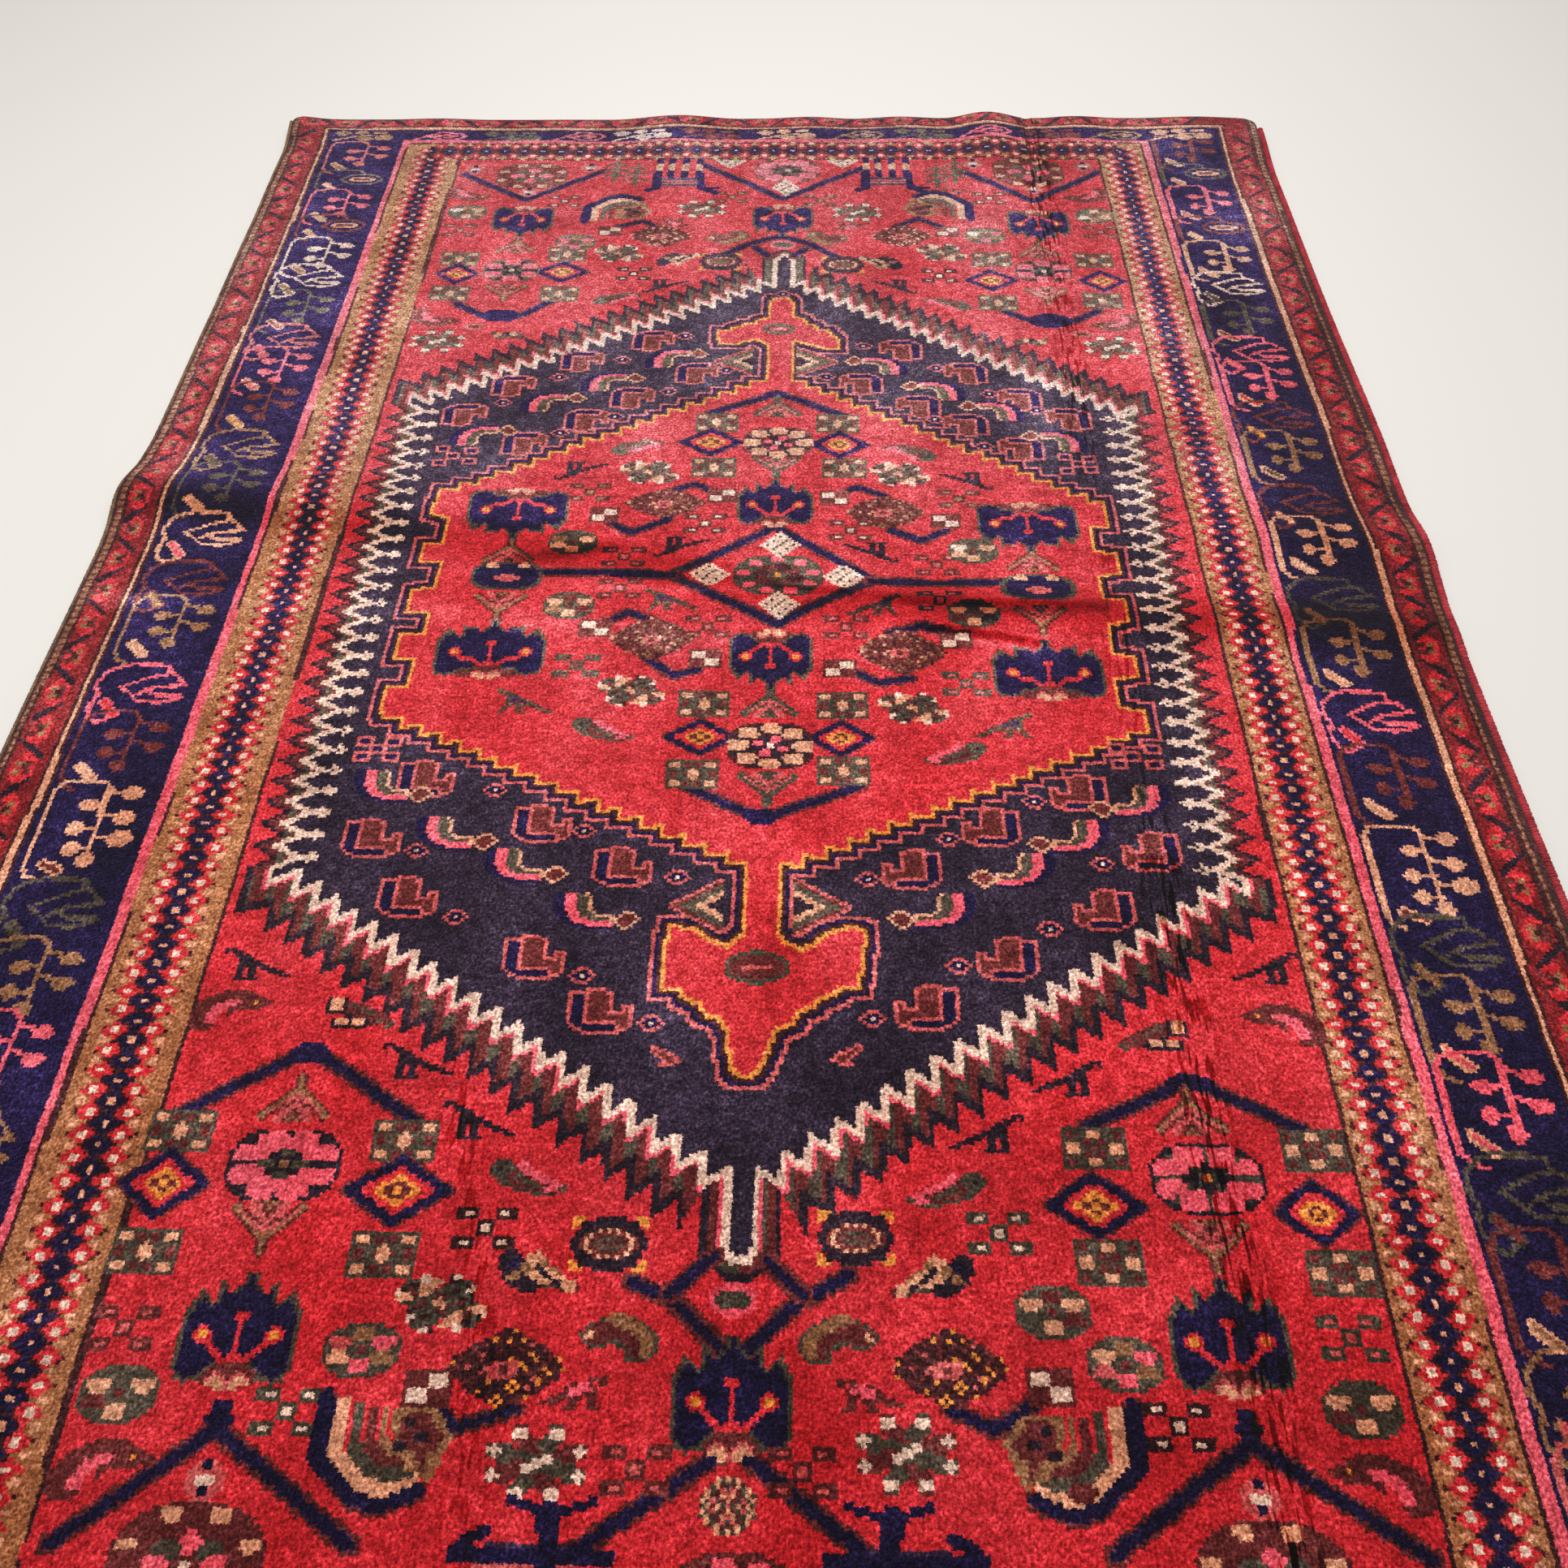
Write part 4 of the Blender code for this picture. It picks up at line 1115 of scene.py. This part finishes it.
def addNode(tree, kind, *values, **named):
    # One node; its kind may end with an operation. The values fill the inputs in order: numbers, sockets, or nodes
    # for their first output. A dictionary's keys and capitalised keywords name inputs; other keywords are settings.
    kind, _, operation = kind.partition(" ")
    node = tree.nodes.new(kind if "Node" in kind else "ShaderNode" + kind)
    if operation:
        node.operation = operation
    inputs = {}
    for k, value in enumerate(values):
        inputs.update(value if isinstance(value, dict) else {k: value})
    for name, value in named.items():
        if name[0].isupper():
            inputs[name] = value
        else:
            setattr(node, name, value)
    for key, value in inputs.items():
        if isinstance(value, bpy.types.Node):
            value = value.outputs[0]
        if isinstance(value, bpy.types.NodeSocket):
            tree.links.new(value, node.inputs[key])
        else:
            node.inputs[key].default_value = value
    return node


def newMaterial(name):
    # an empty material and the function that adds a node to it
    material = bpy.data.materials.new(name)
    material.use_nodes = True
    material.node_tree.nodes.clear()
    return material, partial(addNode, material.node_tree)


def setRamp(node, stops, interpolation="LINEAR"):
    ramp = node.color_ramp
    ramp.interpolation = interpolation
    while len(ramp.elements) > 1:
        ramp.elements.remove(ramp.elements[-1])
    ramp.elements[0].position, ramp.elements[0].color = stops[0]
    for position, colour in stops[1:]:
        ramp.elements.new(position).color = colour
    return node


# Hand-knotted wool pile, 3 mm knots of two tufts: soft, matt, a little sheen against the nap
pile = {
    "roughness": 0.94, "sheen": 0.10, "sheen roughness": 0.5, "sheen tint": "#E9C9C4", "specular": 0.12, "ior": 1.46,
    # noise patterns: (laid on knots or metres, stretched by, scale, detail, roughness)
    "patterns": {
        "fuzz": ("knots", None, 0.85, 1.0, 0.5), "fine fuzz": ("knots", None, 3.1, 1.0, 0.5),
        "wander": ("knots", None, 0.07, 1.0, 0.5), "speckle": ("knots", (1.5, 1.05, 1.0), 1.0, 3.0, 0.65),
        "clumps": ("knots", None, 0.30, 2.5, 0.7), "slits": ("knots", (0.75, 0.11, 1.0), 1.0, 1.0, 0.5),
        "lumps": ("knots", None, 0.22, 4.0, 0.5), "rows": ("metres", (0.9, 26.0, 1.0), 1.6, 3.0, 0.5),
        # the sheen mottle is painted sheen, and the shading patches paint the pile darker and paler
        "nap": ("metres", None, 13.0, 6.0, 0.65), "patches": ("metres", (1.9, 1.0, 1.0), 5.0, 4.0, 0.6)},
    "tufts": 1.6,                                                   # a knot's width holds this many tufts
    "strays": {"fuzz": 0.55, "fine fuzz": 0.55, "wander": 0.5},     # knots by which a yarn's edge strays
    # how strongly each pattern varies the colour; the sheen mottle's share is painted sheen
    "contrast": {"speckle": 3.4, "clumps": 1.6, "tuft": 0.50, "rows": 0.34, "nap": 1.3},
    # painted shading: the patches' share and how much it darkens the colour; the texture's limits; how much deeper
    # darker spots are painted
    "lean": 0.9, "lean shade": 0.32, "darkest": 0.25, "lightest": 2.4, "dye depth": 0.22,
    # painted shade in the slits of the parted pile
    "slits": 1.9, "slits from": 0.53, "slits to": 0.60,
    # pale lint with painted sheen that grows towards the far end
    "lint": (0.0088, 0.0062, 0.0098), "worn": 2.2, "worn loss": 2.8,
    "bump": 0.0012, "bump strength": 0.7, "lump height": 1.8, "back": (0.9, 0.62),
    # painted light and shade along the rug: how bright and how deep the colour is painted at the near end, the middle
    # and the far end; brightest in the middle, deeper and darker towards the near end, paler towards the far end as
    # painted sheen
    "light": [(0.0, 0.80), (0.34, 1.0), (0.5, 0.98), (0.66, 0.84), (0.8, 0.78), (1.0, 0.70)],
    "depth": [(0.0, 1.30), (0.34, 1.10), (0.5, 1.0), (0.66, 0.80), (0.8, 0.74), (1.0, 0.76)],
}


def makePileMaterial():
    material, add = newMaterial("hand_knotted_wool_pile")
    metres = add("TexCoord").outputs["Object"]
    knots = add("VectorMath MULTIPLY", add("UVMap", uv_map="knotPlace"), (knotted["across"], knotted["along"], 1))
    block, rowsLow, rowsHigh, foldAndBorderShading, parted = [
        add("Attribute", attribute_name=name, attribute_type="GEOMETRY").outputs[output]
        for name, output in (("blockAt", "Vector"), ("rowsLow", "Vector"), ("rowsHigh", "Vector"), ("napLean", "Fac"),
                             ("parted", "Fac"))]
    noises = {}
    for name, (laidOn, stretch, scale, detail, roughness) in pile["patterns"].items():
        where = knots if laidOn == "knots" else metres
        if stretch:
            where = add("VectorMath MULTIPLY", where, stretch)
        noises[name] = add("TexNoise", Vector=where, Scale=scale, Detail=detail, Roughness=roughness)

    # tufts lean a little each way, so the edge between two yarns is ragged; the counted line wanders slowly
    moved = knots
    for name, size in pile["strays"].items():
        shift = add("VectorMath SUBTRACT", noises[name].outputs["Color"], (0.5, 0.5, 0.5))
        moved = add("VectorMath MULTIPLY_ADD", shift, (size * 2, size * 2, 0), moved)
    inBlock = add("VectorMath SUBTRACT", add("VectorMath FLOOR", moved), block)
    for operation, limit in (("ADD", (1, 1, 0)), ("MAXIMUM", (0, 0, 0)), ("MINIMUM", (5, 5, 5))):
        inBlock = add("VectorMath " + operation, inBlock, limit)
    inBlock = add("SeparateXYZ", inBlock)

    # the yarn's number: the row picks one packed number, the column one digit of it
    picked = []
    for axis, first, second in (("Y", rowsLow, rowsHigh),
                                ("X", (1, 16 ** -1, 16 ** -2), (16 ** -3, 16 ** -4, 16 ** -5))):
        for start, weights in ((0, first), (3, second)):
            step = add("VectorMath SUBTRACT", inBlock.outputs[axis], (start, start + 1, start + 2))
            step = add("VectorMath SUBTRACT", (1, 1, 1), add("VectorMath ABSOLUTE", step))
            step = add("VectorMath MAXIMUM", step, (0, 0, 0))
            picked.append(add("VectorMath DOT_PRODUCT", step, weights).outputs["Value"])
    digit = add("Math MULTIPLY", add("Math ADD", *picked[:2]), add("Math ADD", *picked[2:]))
    digit = add("Math MODULO", add("Math FLOOR", digit), 16.0)
    digit = add("Math MULTIPLY_ADD", digit, 1 / 16, 1 / 32)
    yarn = setRamp(add("ValToRGB", digit),
                   [(k / 16, toLinear(yarns[letter])) for k, letter in enumerate(yarnLetters)], "CONSTANT")

    # painted shading of the pile: patches painted darker and paler, the painted shade and highlight bands at the folds
    # and the border, and painted shade in thin dark slits between the warps where a fold has parted the pile
    lean = add("Math MULTIPLY_ADD", noises["patches"], pile["lean"], foldAndBorderShading)
    lean = add("Math SUBTRACT", lean, pile["lean"] / 2)
    slits = add("MapRange", noises["slits"], {"From Min": pile["slits from"], "From Max": pile["slits to"]})
    lean = add("Math MULTIPLY_ADD", add("Math MULTIPLY", slits, parted), pile["slits"], lean)

    # the cut tufts: painted light on their tips and painted shade in the gaps, and dye that takes differently from
    # knot to knot and row to row
    tufts = add("TexVoronoi", Vector=knots, Scale=pile["tufts"], Randomness=1.0, voronoi_dimensions="2D")
    noises["tuft"] = add("SeparateColor", tufts.outputs["Color"])
    texture = None
    for name, size in pile["contrast"].items():
        spread = add("Math MULTIPLY_ADD", noises[name], size, 1 - size / 2)
        texture = spread if texture is None else add("Math MULTIPLY", texture, spread)
    # the painted shading darkens the texture
    shade = add("Math MULTIPLY_ADD", lean, -pile["lean shade"], 1.0)
    texture = add("Clamp", add("Math MULTIPLY", texture, shade), pile["darkest"], pile["lightest"])
    # the back is flat: one ridge of knots to each pair of warps, no tufts
    onBack = add("SeparateXYZ", block).outputs["Z"]
    warps = add("SeparateXYZ", knots)
    ridges = add("Math MINIMUM", *[add("Math PINGPONG", warps.outputs[axis], 0.5) for axis in "XY"])
    texture = add("Mix", {"Factor": onBack, 2: texture, 3: add("Math MULTIPLY_ADD", ridges, *pile["back"])})

    # painted light and shade along the rug, read from the object's Y: the light curve scales the colour and the depth
    # curve sets its gamma, painted deeper where the texture is darker
    along = add("MapRange", add("SeparateXYZ", metres).outputs["Y"], {"From Min": -1.0, "From Max": 1.0})
    # a ramp's colours stop at 1, so it holds half the value
    paintedLightCurves = {name: setRamp(add("ValToRGB", along), [(at, (*[share / 2] * 3, 1)) for at, share in pile[name]], "EASE")
              for name in ("light", "depth")}
    depth = add("Math MULTIPLY_ADD", paintedLightCurves["depth"], 2.0, pile["dye depth"])
    depth = add("Math MULTIPLY_ADD", texture, -pile["dye depth"], depth)
    light = add("Math MULTIPLY", add("Math MULTIPLY", paintedLightCurves["light"], 2.0), texture)
    # the gamma deepens the colour by the painted depth curve and by the painted shading
    dyed = add("Gamma", yarn, add("Math ADD", depth, lean))
    dyed = add("VectorMath SCALE", dyed, Scale=light)
    # pale lint with painted sheen: it shows on the dark yarns, grows towards the far end as painted sheen, and is more
    # where the pile's texture is lighter
    worn = add("Math MULTIPLY_ADD", paintedLightCurves["depth"], -pile["worn loss"], pile["worn"])
    worn = add("Math MULTIPLY", add("Math MULTIPLY", worn, texture), texture)
    dyed = add("VectorMath MULTIPLY_ADD", worn, pile["lint"], dyed)

    domes = add("Math MULTIPLY_ADD", tufts.outputs["Distance"], -1.0, noises["speckle"])
    relief = add("Math MULTIPLY_ADD", noises["lumps"], pile["lump height"], domes)
    relief = add("Mix", {"Factor": onBack, 2: relief, 3: ridges})
    bump = add("Bump", Height=relief, Distance=pile["bump"], Strength=pile["bump strength"])
    shader = add("BsdfPrincipled", {
        "Base Color": dyed, "Roughness": pile["roughness"], "Specular IOR Level": pile["specular"],
        "IOR": pile["ior"], "Sheen Weight": pile["sheen"], "Sheen Roughness": pile["sheen roughness"],
        "Sheen Tint": toLinear(pile["sheen tint"]), "Normal": bump})
    add("OutputMaterial", Surface=shader)
    return material


rug = makeRug()
rug.data.materials.append(makePileMaterial())


def newTree(name, sizes):
    # an empty modifier tree with one named input for each size, and the function that adds a node to it
    tree = bpy.data.node_groups.new(name, "GeometryNodeTree")
    tree.interface.new_socket("Geometry", in_out="INPUT", socket_type="NodeSocketGeometry")
    for size in sizes:
        tree.interface.new_socket(size, in_out="INPUT", socket_type="NodeSocketFloat")
    tree.interface.new_socket("Geometry", in_out="OUTPUT", socket_type="NodeSocketGeometry")
    return tree, partial(addNode, tree)


def finishTree(add, geometry, material):
    plain = add("GeometryNodeRealizeInstances", geometry)
    add("NodeGroupOutput", add("GeometryNodeSetMaterial", plain, Material=material))


def layPath(points, attribute=None):
    # a bare line for a modifier to build on
    mesh = bpy.data.meshes.new("path")
    mesh.from_pydata(points, [(k, k + 1) for k in range(len(points) - 1)], [])
    if attribute:
        name, values = attribute
        mesh.attributes.new(name, "FLOAT", "POINT").data.foreach_set("value", np.array(values, dtype=np.float32))
    return showObject("path", mesh)


def runTree(tree, path, name, sizes):
    # builds on the line and keeps the result as a plain mesh
    modifier = path.modifiers.new(tree.name, "NODES")
    modifier.node_group = tree
    for item in tree.interface.items_tree:
        if item.in_out == "INPUT" and item.name in sizes:
            modifier[item.identifier] = sizes[item.name]
    mesh = bpy.data.meshes.new_from_object(path.evaluated_get(bpy.context.evaluated_depsgraph_get()))
    bpy.data.objects.remove(path)
    mesh.name = name
    mesh.polygons.foreach_set("use_smooth", np.ones(len(mesh.polygons), bool))
    print(name, len(mesh.polygons), "faces")
    return showObject(name, mesh)


# Overcast edges: two-ply wool wound round the outermost warps, turn beside turn; rough and matt
overcast = {
    "left": {"Pitch": 0.0023, "Strand": 0.00105, "yarns": ("#5E4435", "#A08260")},
    "right": {"Pitch": 0.0026, "Strand": 0.00130, "yarns": ("#85222B", "#C4424A")},
    "slant": 0.24, "sway": (0.07, 0.08, 3.1), "sizes": (0.90, 0.985), "stations": 420,
    "roughness": 0.93, "sheen": 0.12, "dye lots": 46.0, "plies": 900.0, "bump": 0.0004,
}


def makeOvercastWool(side):
    # one dye lot that fades and darkens along its length
    material, add = newMaterial("overcast_wool_" + side)
    place = add("TexCoord").outputs["Object"]
    lots = add("TexNoise", Vector=place, Scale=overcast["dye lots"], Detail=4.0, Roughness=0.7)
    plies = add("TexNoise", Vector=place, Scale=overcast["plies"], Detail=2.0)
    mixed = add("Math MULTIPLY_ADD", plies, 0.9, -0.45)
    mixed = add("Math SUBTRACT", add("Math MULTIPLY_ADD", lots, 2.2, mixed), 0.6)
    first, second = overcast[side]["yarns"]
    dyed = setRamp(add("ValToRGB", mixed), [(0.15, toLinear(first)), (0.9, toLinear(second))])
    bump = add("Bump", Height=plies, Distance=overcast["bump"], Strength=0.6)
    shader = add("BsdfPrincipled", {
        "Base Color": dyed, "Roughness": overcast["roughness"], "Specular IOR Level": pile["specular"],
        "IOR": pile["ior"], "Sheen Weight": overcast["sheen"], "Normal": bump})
    add("OutputMaterial", Surface=shader)
    return material


def makeOvercast(side):
    radius, strand = rugBody["cord"][side], overcast[side]["Strand"]
    outwards = -1.0 if side == "left" else 1.0
    reach = rugBody["length"] / 2 - rugBody["cord end"] - strand
    points = []
    for y in np.linspace(-reach, reach, overcast["stations"]).tolist():
        edge = clothEdge(side, y)
        points.append((edge + outwards * (rugBody["gap"] + radius), y, floorGap(edge, y) + radius))
    tree, add = newTree("overcast_" + side, ("Pitch", "Core", "Strand"))
    given = add("NodeGroupInput").outputs
    curve = add("GeometryNodeMeshToCurve", given["Geometry"])
    turns = add("GeometryNodeCurveToPoints", Curve=curve, Length=given["Pitch"], mode="LENGTH")
    core = add("GeometryNodeCurvePrimitiveCircle", Resolution=12, Radius=given["Core"])
    section = add("GeometryNodeCurvePrimitiveCircle", Resolution=5, Radius=given["Strand"])
    turn = add("GeometryNodeCurveToMesh", core, section)
    slant, (swayX, swayY, swayZ) = overcast["slant"], overcast["sway"]
    tilt = add("FunctionNodeRandomValue", (slant - swayX, -swayY, -swayZ), (slant + swayX, swayY, swayZ), Seed=4,
               data_type="FLOAT_VECTOR")
    tilt = add("FunctionNodeRotateRotation", turns.outputs["Rotation"], add("FunctionNodeEulerToRotation", tilt),
               rotation_space="LOCAL")
    size = add("FunctionNodeRandomValue", dict(zip((2, 3), overcast["sizes"])), Seed=9, data_type="FLOAT")
    wound = add("GeometryNodeInstanceOnPoints", Points=turns.outputs["Points"], Instance=turn, Rotation=tilt,
                Scale=size.outputs[1])
    both = add("GeometryNodeJoinGeometry", add("GeometryNodeCurveToMesh", curve, core, {"Fill Caps": True}))
    tree.links.new(wound.outputs[0], both.inputs[0])
    finishTree(add, both, makeOvercastWool(side))
    sizes = {"Pitch": overcast[side]["Pitch"], "Core": radius - strand, "Strand": strand}
    cord = runTree(tree, layPath(points), "overcast_" + side, sizes)
    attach(cord, "root")
    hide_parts("selvedge_" + side)
    return cord


# Cut warp ends that work out of the two ends of the rug; more of them towards the far right corner
warpEnds = {
    "Pitch": 0.0015, "Length": 0.0042, "Thickness": 0.00035, "tip": 0.00012, "rise": 0.0042, "out": 0.0006,
    "reach": 0.60, "stations": 240, "shortest": 0.12, "splay": (0.30, 0.2, 0.55),
    "yarn": "#B9A07E", "soil": "#7A6148", "roughness": 0.95, "specular": 0.2, "ior": 1.53,
    "stretches": {"far": [(-0.60, 0.05), (-0.30, 0.35), (0.00, 0.15), (0.20, 0.45), (0.25, 1.0), (0.36, 0.9),
                          (0.42, 0.3), (0.60, 0.1)],
                  "near": [(-0.60, 0.05), (-0.35, 0.5), (-0.10, 0.3), (0.20, 0.6), (0.45, 0.4), (0.60, 0.1)]},
}


def makeWarpCotton():
    # undyed spun cotton, greyed by handling: matt and a little mottled
    material, add = newMaterial("undyed_warp_cotton")
    soil = add("TexNoise", Vector=add("TexCoord").outputs["Object"], Scale=190.0, Detail=3.0)
    shade = setRamp(add("ValToRGB", soil), [(0.3, toLinear(warpEnds["soil"])), (0.7, toLinear(warpEnds["yarn"]))])
    shader = add("BsdfPrincipled", {"Base Color": shade, "Roughness": warpEnds["roughness"],
                                    "Specular IOR Level": warpEnds["specular"], "IOR": warpEnds["ior"]})
    add("OutputMaterial", Surface=shader)
    return material


def makeWarpEnds(end, cotton):
    side = 1 if end == "far" else -1
    points, lengths = [], []
    for at in np.linspace(-warpEnds["reach"], warpEnds["reach"], warpEnds["stations"]).tolist():
        x, y = placeKnot(at / knotted["pitch"], side * halfAlong)
        points.append((x, y + side * warpEnds["out"], floorGap(x, y) + warpEnds["rise"]))
        lengths.append(readBetween(warpEnds["stretches"][end], at))
    tree, add = newTree("warp_ends_" + end, ("Pitch", "Length", "Thickness"))
    given = add("NodeGroupInput").outputs
    curve = add("GeometryNodeMeshToCurve", given["Geometry"])
    roots = add("GeometryNodeCurveToPoints", Curve=curve, Length=given["Pitch"], mode="LENGTH")
    strand = add("GeometryNodeMeshCone", {
        "Vertices": 4, "Side Segments": 3, "Radius Top": warpEnds["tip"], "Radius Bottom": given["Thickness"],
        "Depth": given["Length"]})
    quarter, (splayX, splayY, splayZ) = -side * math.pi / 2, warpEnds["splay"]
    turn = add("FunctionNodeRandomValue", (quarter - splayX, -splayY, -splayZ), (quarter + splayX, splayY, splayZ),
               Seed=21, data_type="FLOAT_VECTOR")
    share = add("GeometryNodeInputNamedAttribute", Name="stub", data_type="FLOAT")
    uneven = add("FunctionNodeRandomValue", {2: 0.15, 3: 1.0}, Seed=5, data_type="FLOAT")
    reach = add("Math MULTIPLY", share, uneven.outputs[1])
    strands = add("GeometryNodeInstanceOnPoints", Points=roots.outputs["Points"], Instance=strand.outputs["Mesh"],
                  Selection=add("Math GREATER_THAN", reach, warpEnds["shortest"]), Rotation=turn,
                  Scale=add("CombineXYZ", 1.0, 1.0, reach))
    finishTree(add, strands, cotton)
    piece = runTree(tree, layPath(points, ("stub", lengths)), "warp_ends_" + end, warpEnds)
    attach(piece, "root")
    return piece


warpCotton = makeWarpCotton()
edgePieces = [makeOvercast("left"), makeOvercast("right"), makeWarpEnds("far", warpCotton),
              makeWarpEnds("near", warpCotton)]
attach(rug, "root")
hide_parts("rug_body")


# Pale painted floor, smooth and half matt
floorLook = {"size": 9.0, "colour": "#DEDAD4", "roughness": 0.55}


def makeFloor():
    half = floorLook["size"] / 2
    mesh = bpy.data.meshes.new("floor")
    mesh.from_pydata([(-half, -half, 0), (half, -half, 0), (half, half, 0), (-half, half, 0)], [], [(0, 1, 2, 3)])
    material, add = newMaterial("painted_floor")
    shader = add("BsdfPrincipled", {"Base Color": toLinear(floorLook["colour"]), "Roughness": floorLook["roughness"]})
    add("OutputMaterial", Surface=shader)
    mesh.materials.append(material)
    showObject("floor", mesh)


makeFloor()

# Camera at head height over the near end, looking down and along the rug
viewFrom = {"at": (0.0384, -1.1214, 0.9952), "down": 47.116, "aside": -0.709, "roll": 0.032, "lens": 37.27}


def makeCamera():
    camera = bpy.data.cameras.new("camera")
    camera.lens, camera.sensor_width, camera.clip_start, camera.clip_end = viewFrom["lens"], 36.0, 0.05, 60.0
    holder = showObject("camera", camera)
    down, aside = math.radians(viewFrom["down"]), math.radians(viewFrom["aside"])
    ahead = Vector((math.sin(aside) * math.cos(down), math.cos(aside) * math.cos(down), -math.sin(down)))
    turn = ahead.to_track_quat("-Z", "Y")
    holder.rotation_mode = "QUATERNION"
    holder.rotation_quaternion = turn @ Quaternion((0, 0, 1), math.radians(viewFrom["roll"]))
    holder.location = viewFrom["at"]
    bpy.context.scene.camera = holder


makeCamera()

# Soft light: a big panel overhead, a lower one beyond the far end, and an even pale surround
lamps = {
    "overhead": {"at": (-0.2, 0.25, 2.6), "towards": (0.0, 0.05, 0.0), "size": (1.8, 1.8), "power": 62.0},
    "far": {"at": (0.3, 3.0, 1.7), "towards": (0.0, 0.3, 0.0), "size": (2.4, 1.4), "power": 20.0},
}
surround = {"colour": "#F2F1EE", "strength": 0.45}


def makeLights():
    for name, lamp in lamps.items():
        light = bpy.data.lights.new(name, "AREA")
        light.shape = "RECTANGLE"
        light.size, light.size_y = lamp["size"]
        light.energy = lamp["power"]
        holder = showObject(name, light)
        holder.location = lamp["at"]
        holder.rotation_mode = "QUATERNION"
        holder.rotation_quaternion = (Vector(lamp["towards"]) - Vector(lamp["at"])).to_track_quat("-Z", "Y")
    world = bpy.data.worlds.new("surround")
    world.use_nodes = True
    background = world.node_tree.nodes["Background"]
    background.inputs["Color"].default_value = toLinear(surround["colour"])
    background.inputs["Strength"].default_value = surround["strength"]
    bpy.context.scene.world = world


makeLights()
bpy.context.scene.view_settings.view_transform = "Standard"
print("camera and lights set")
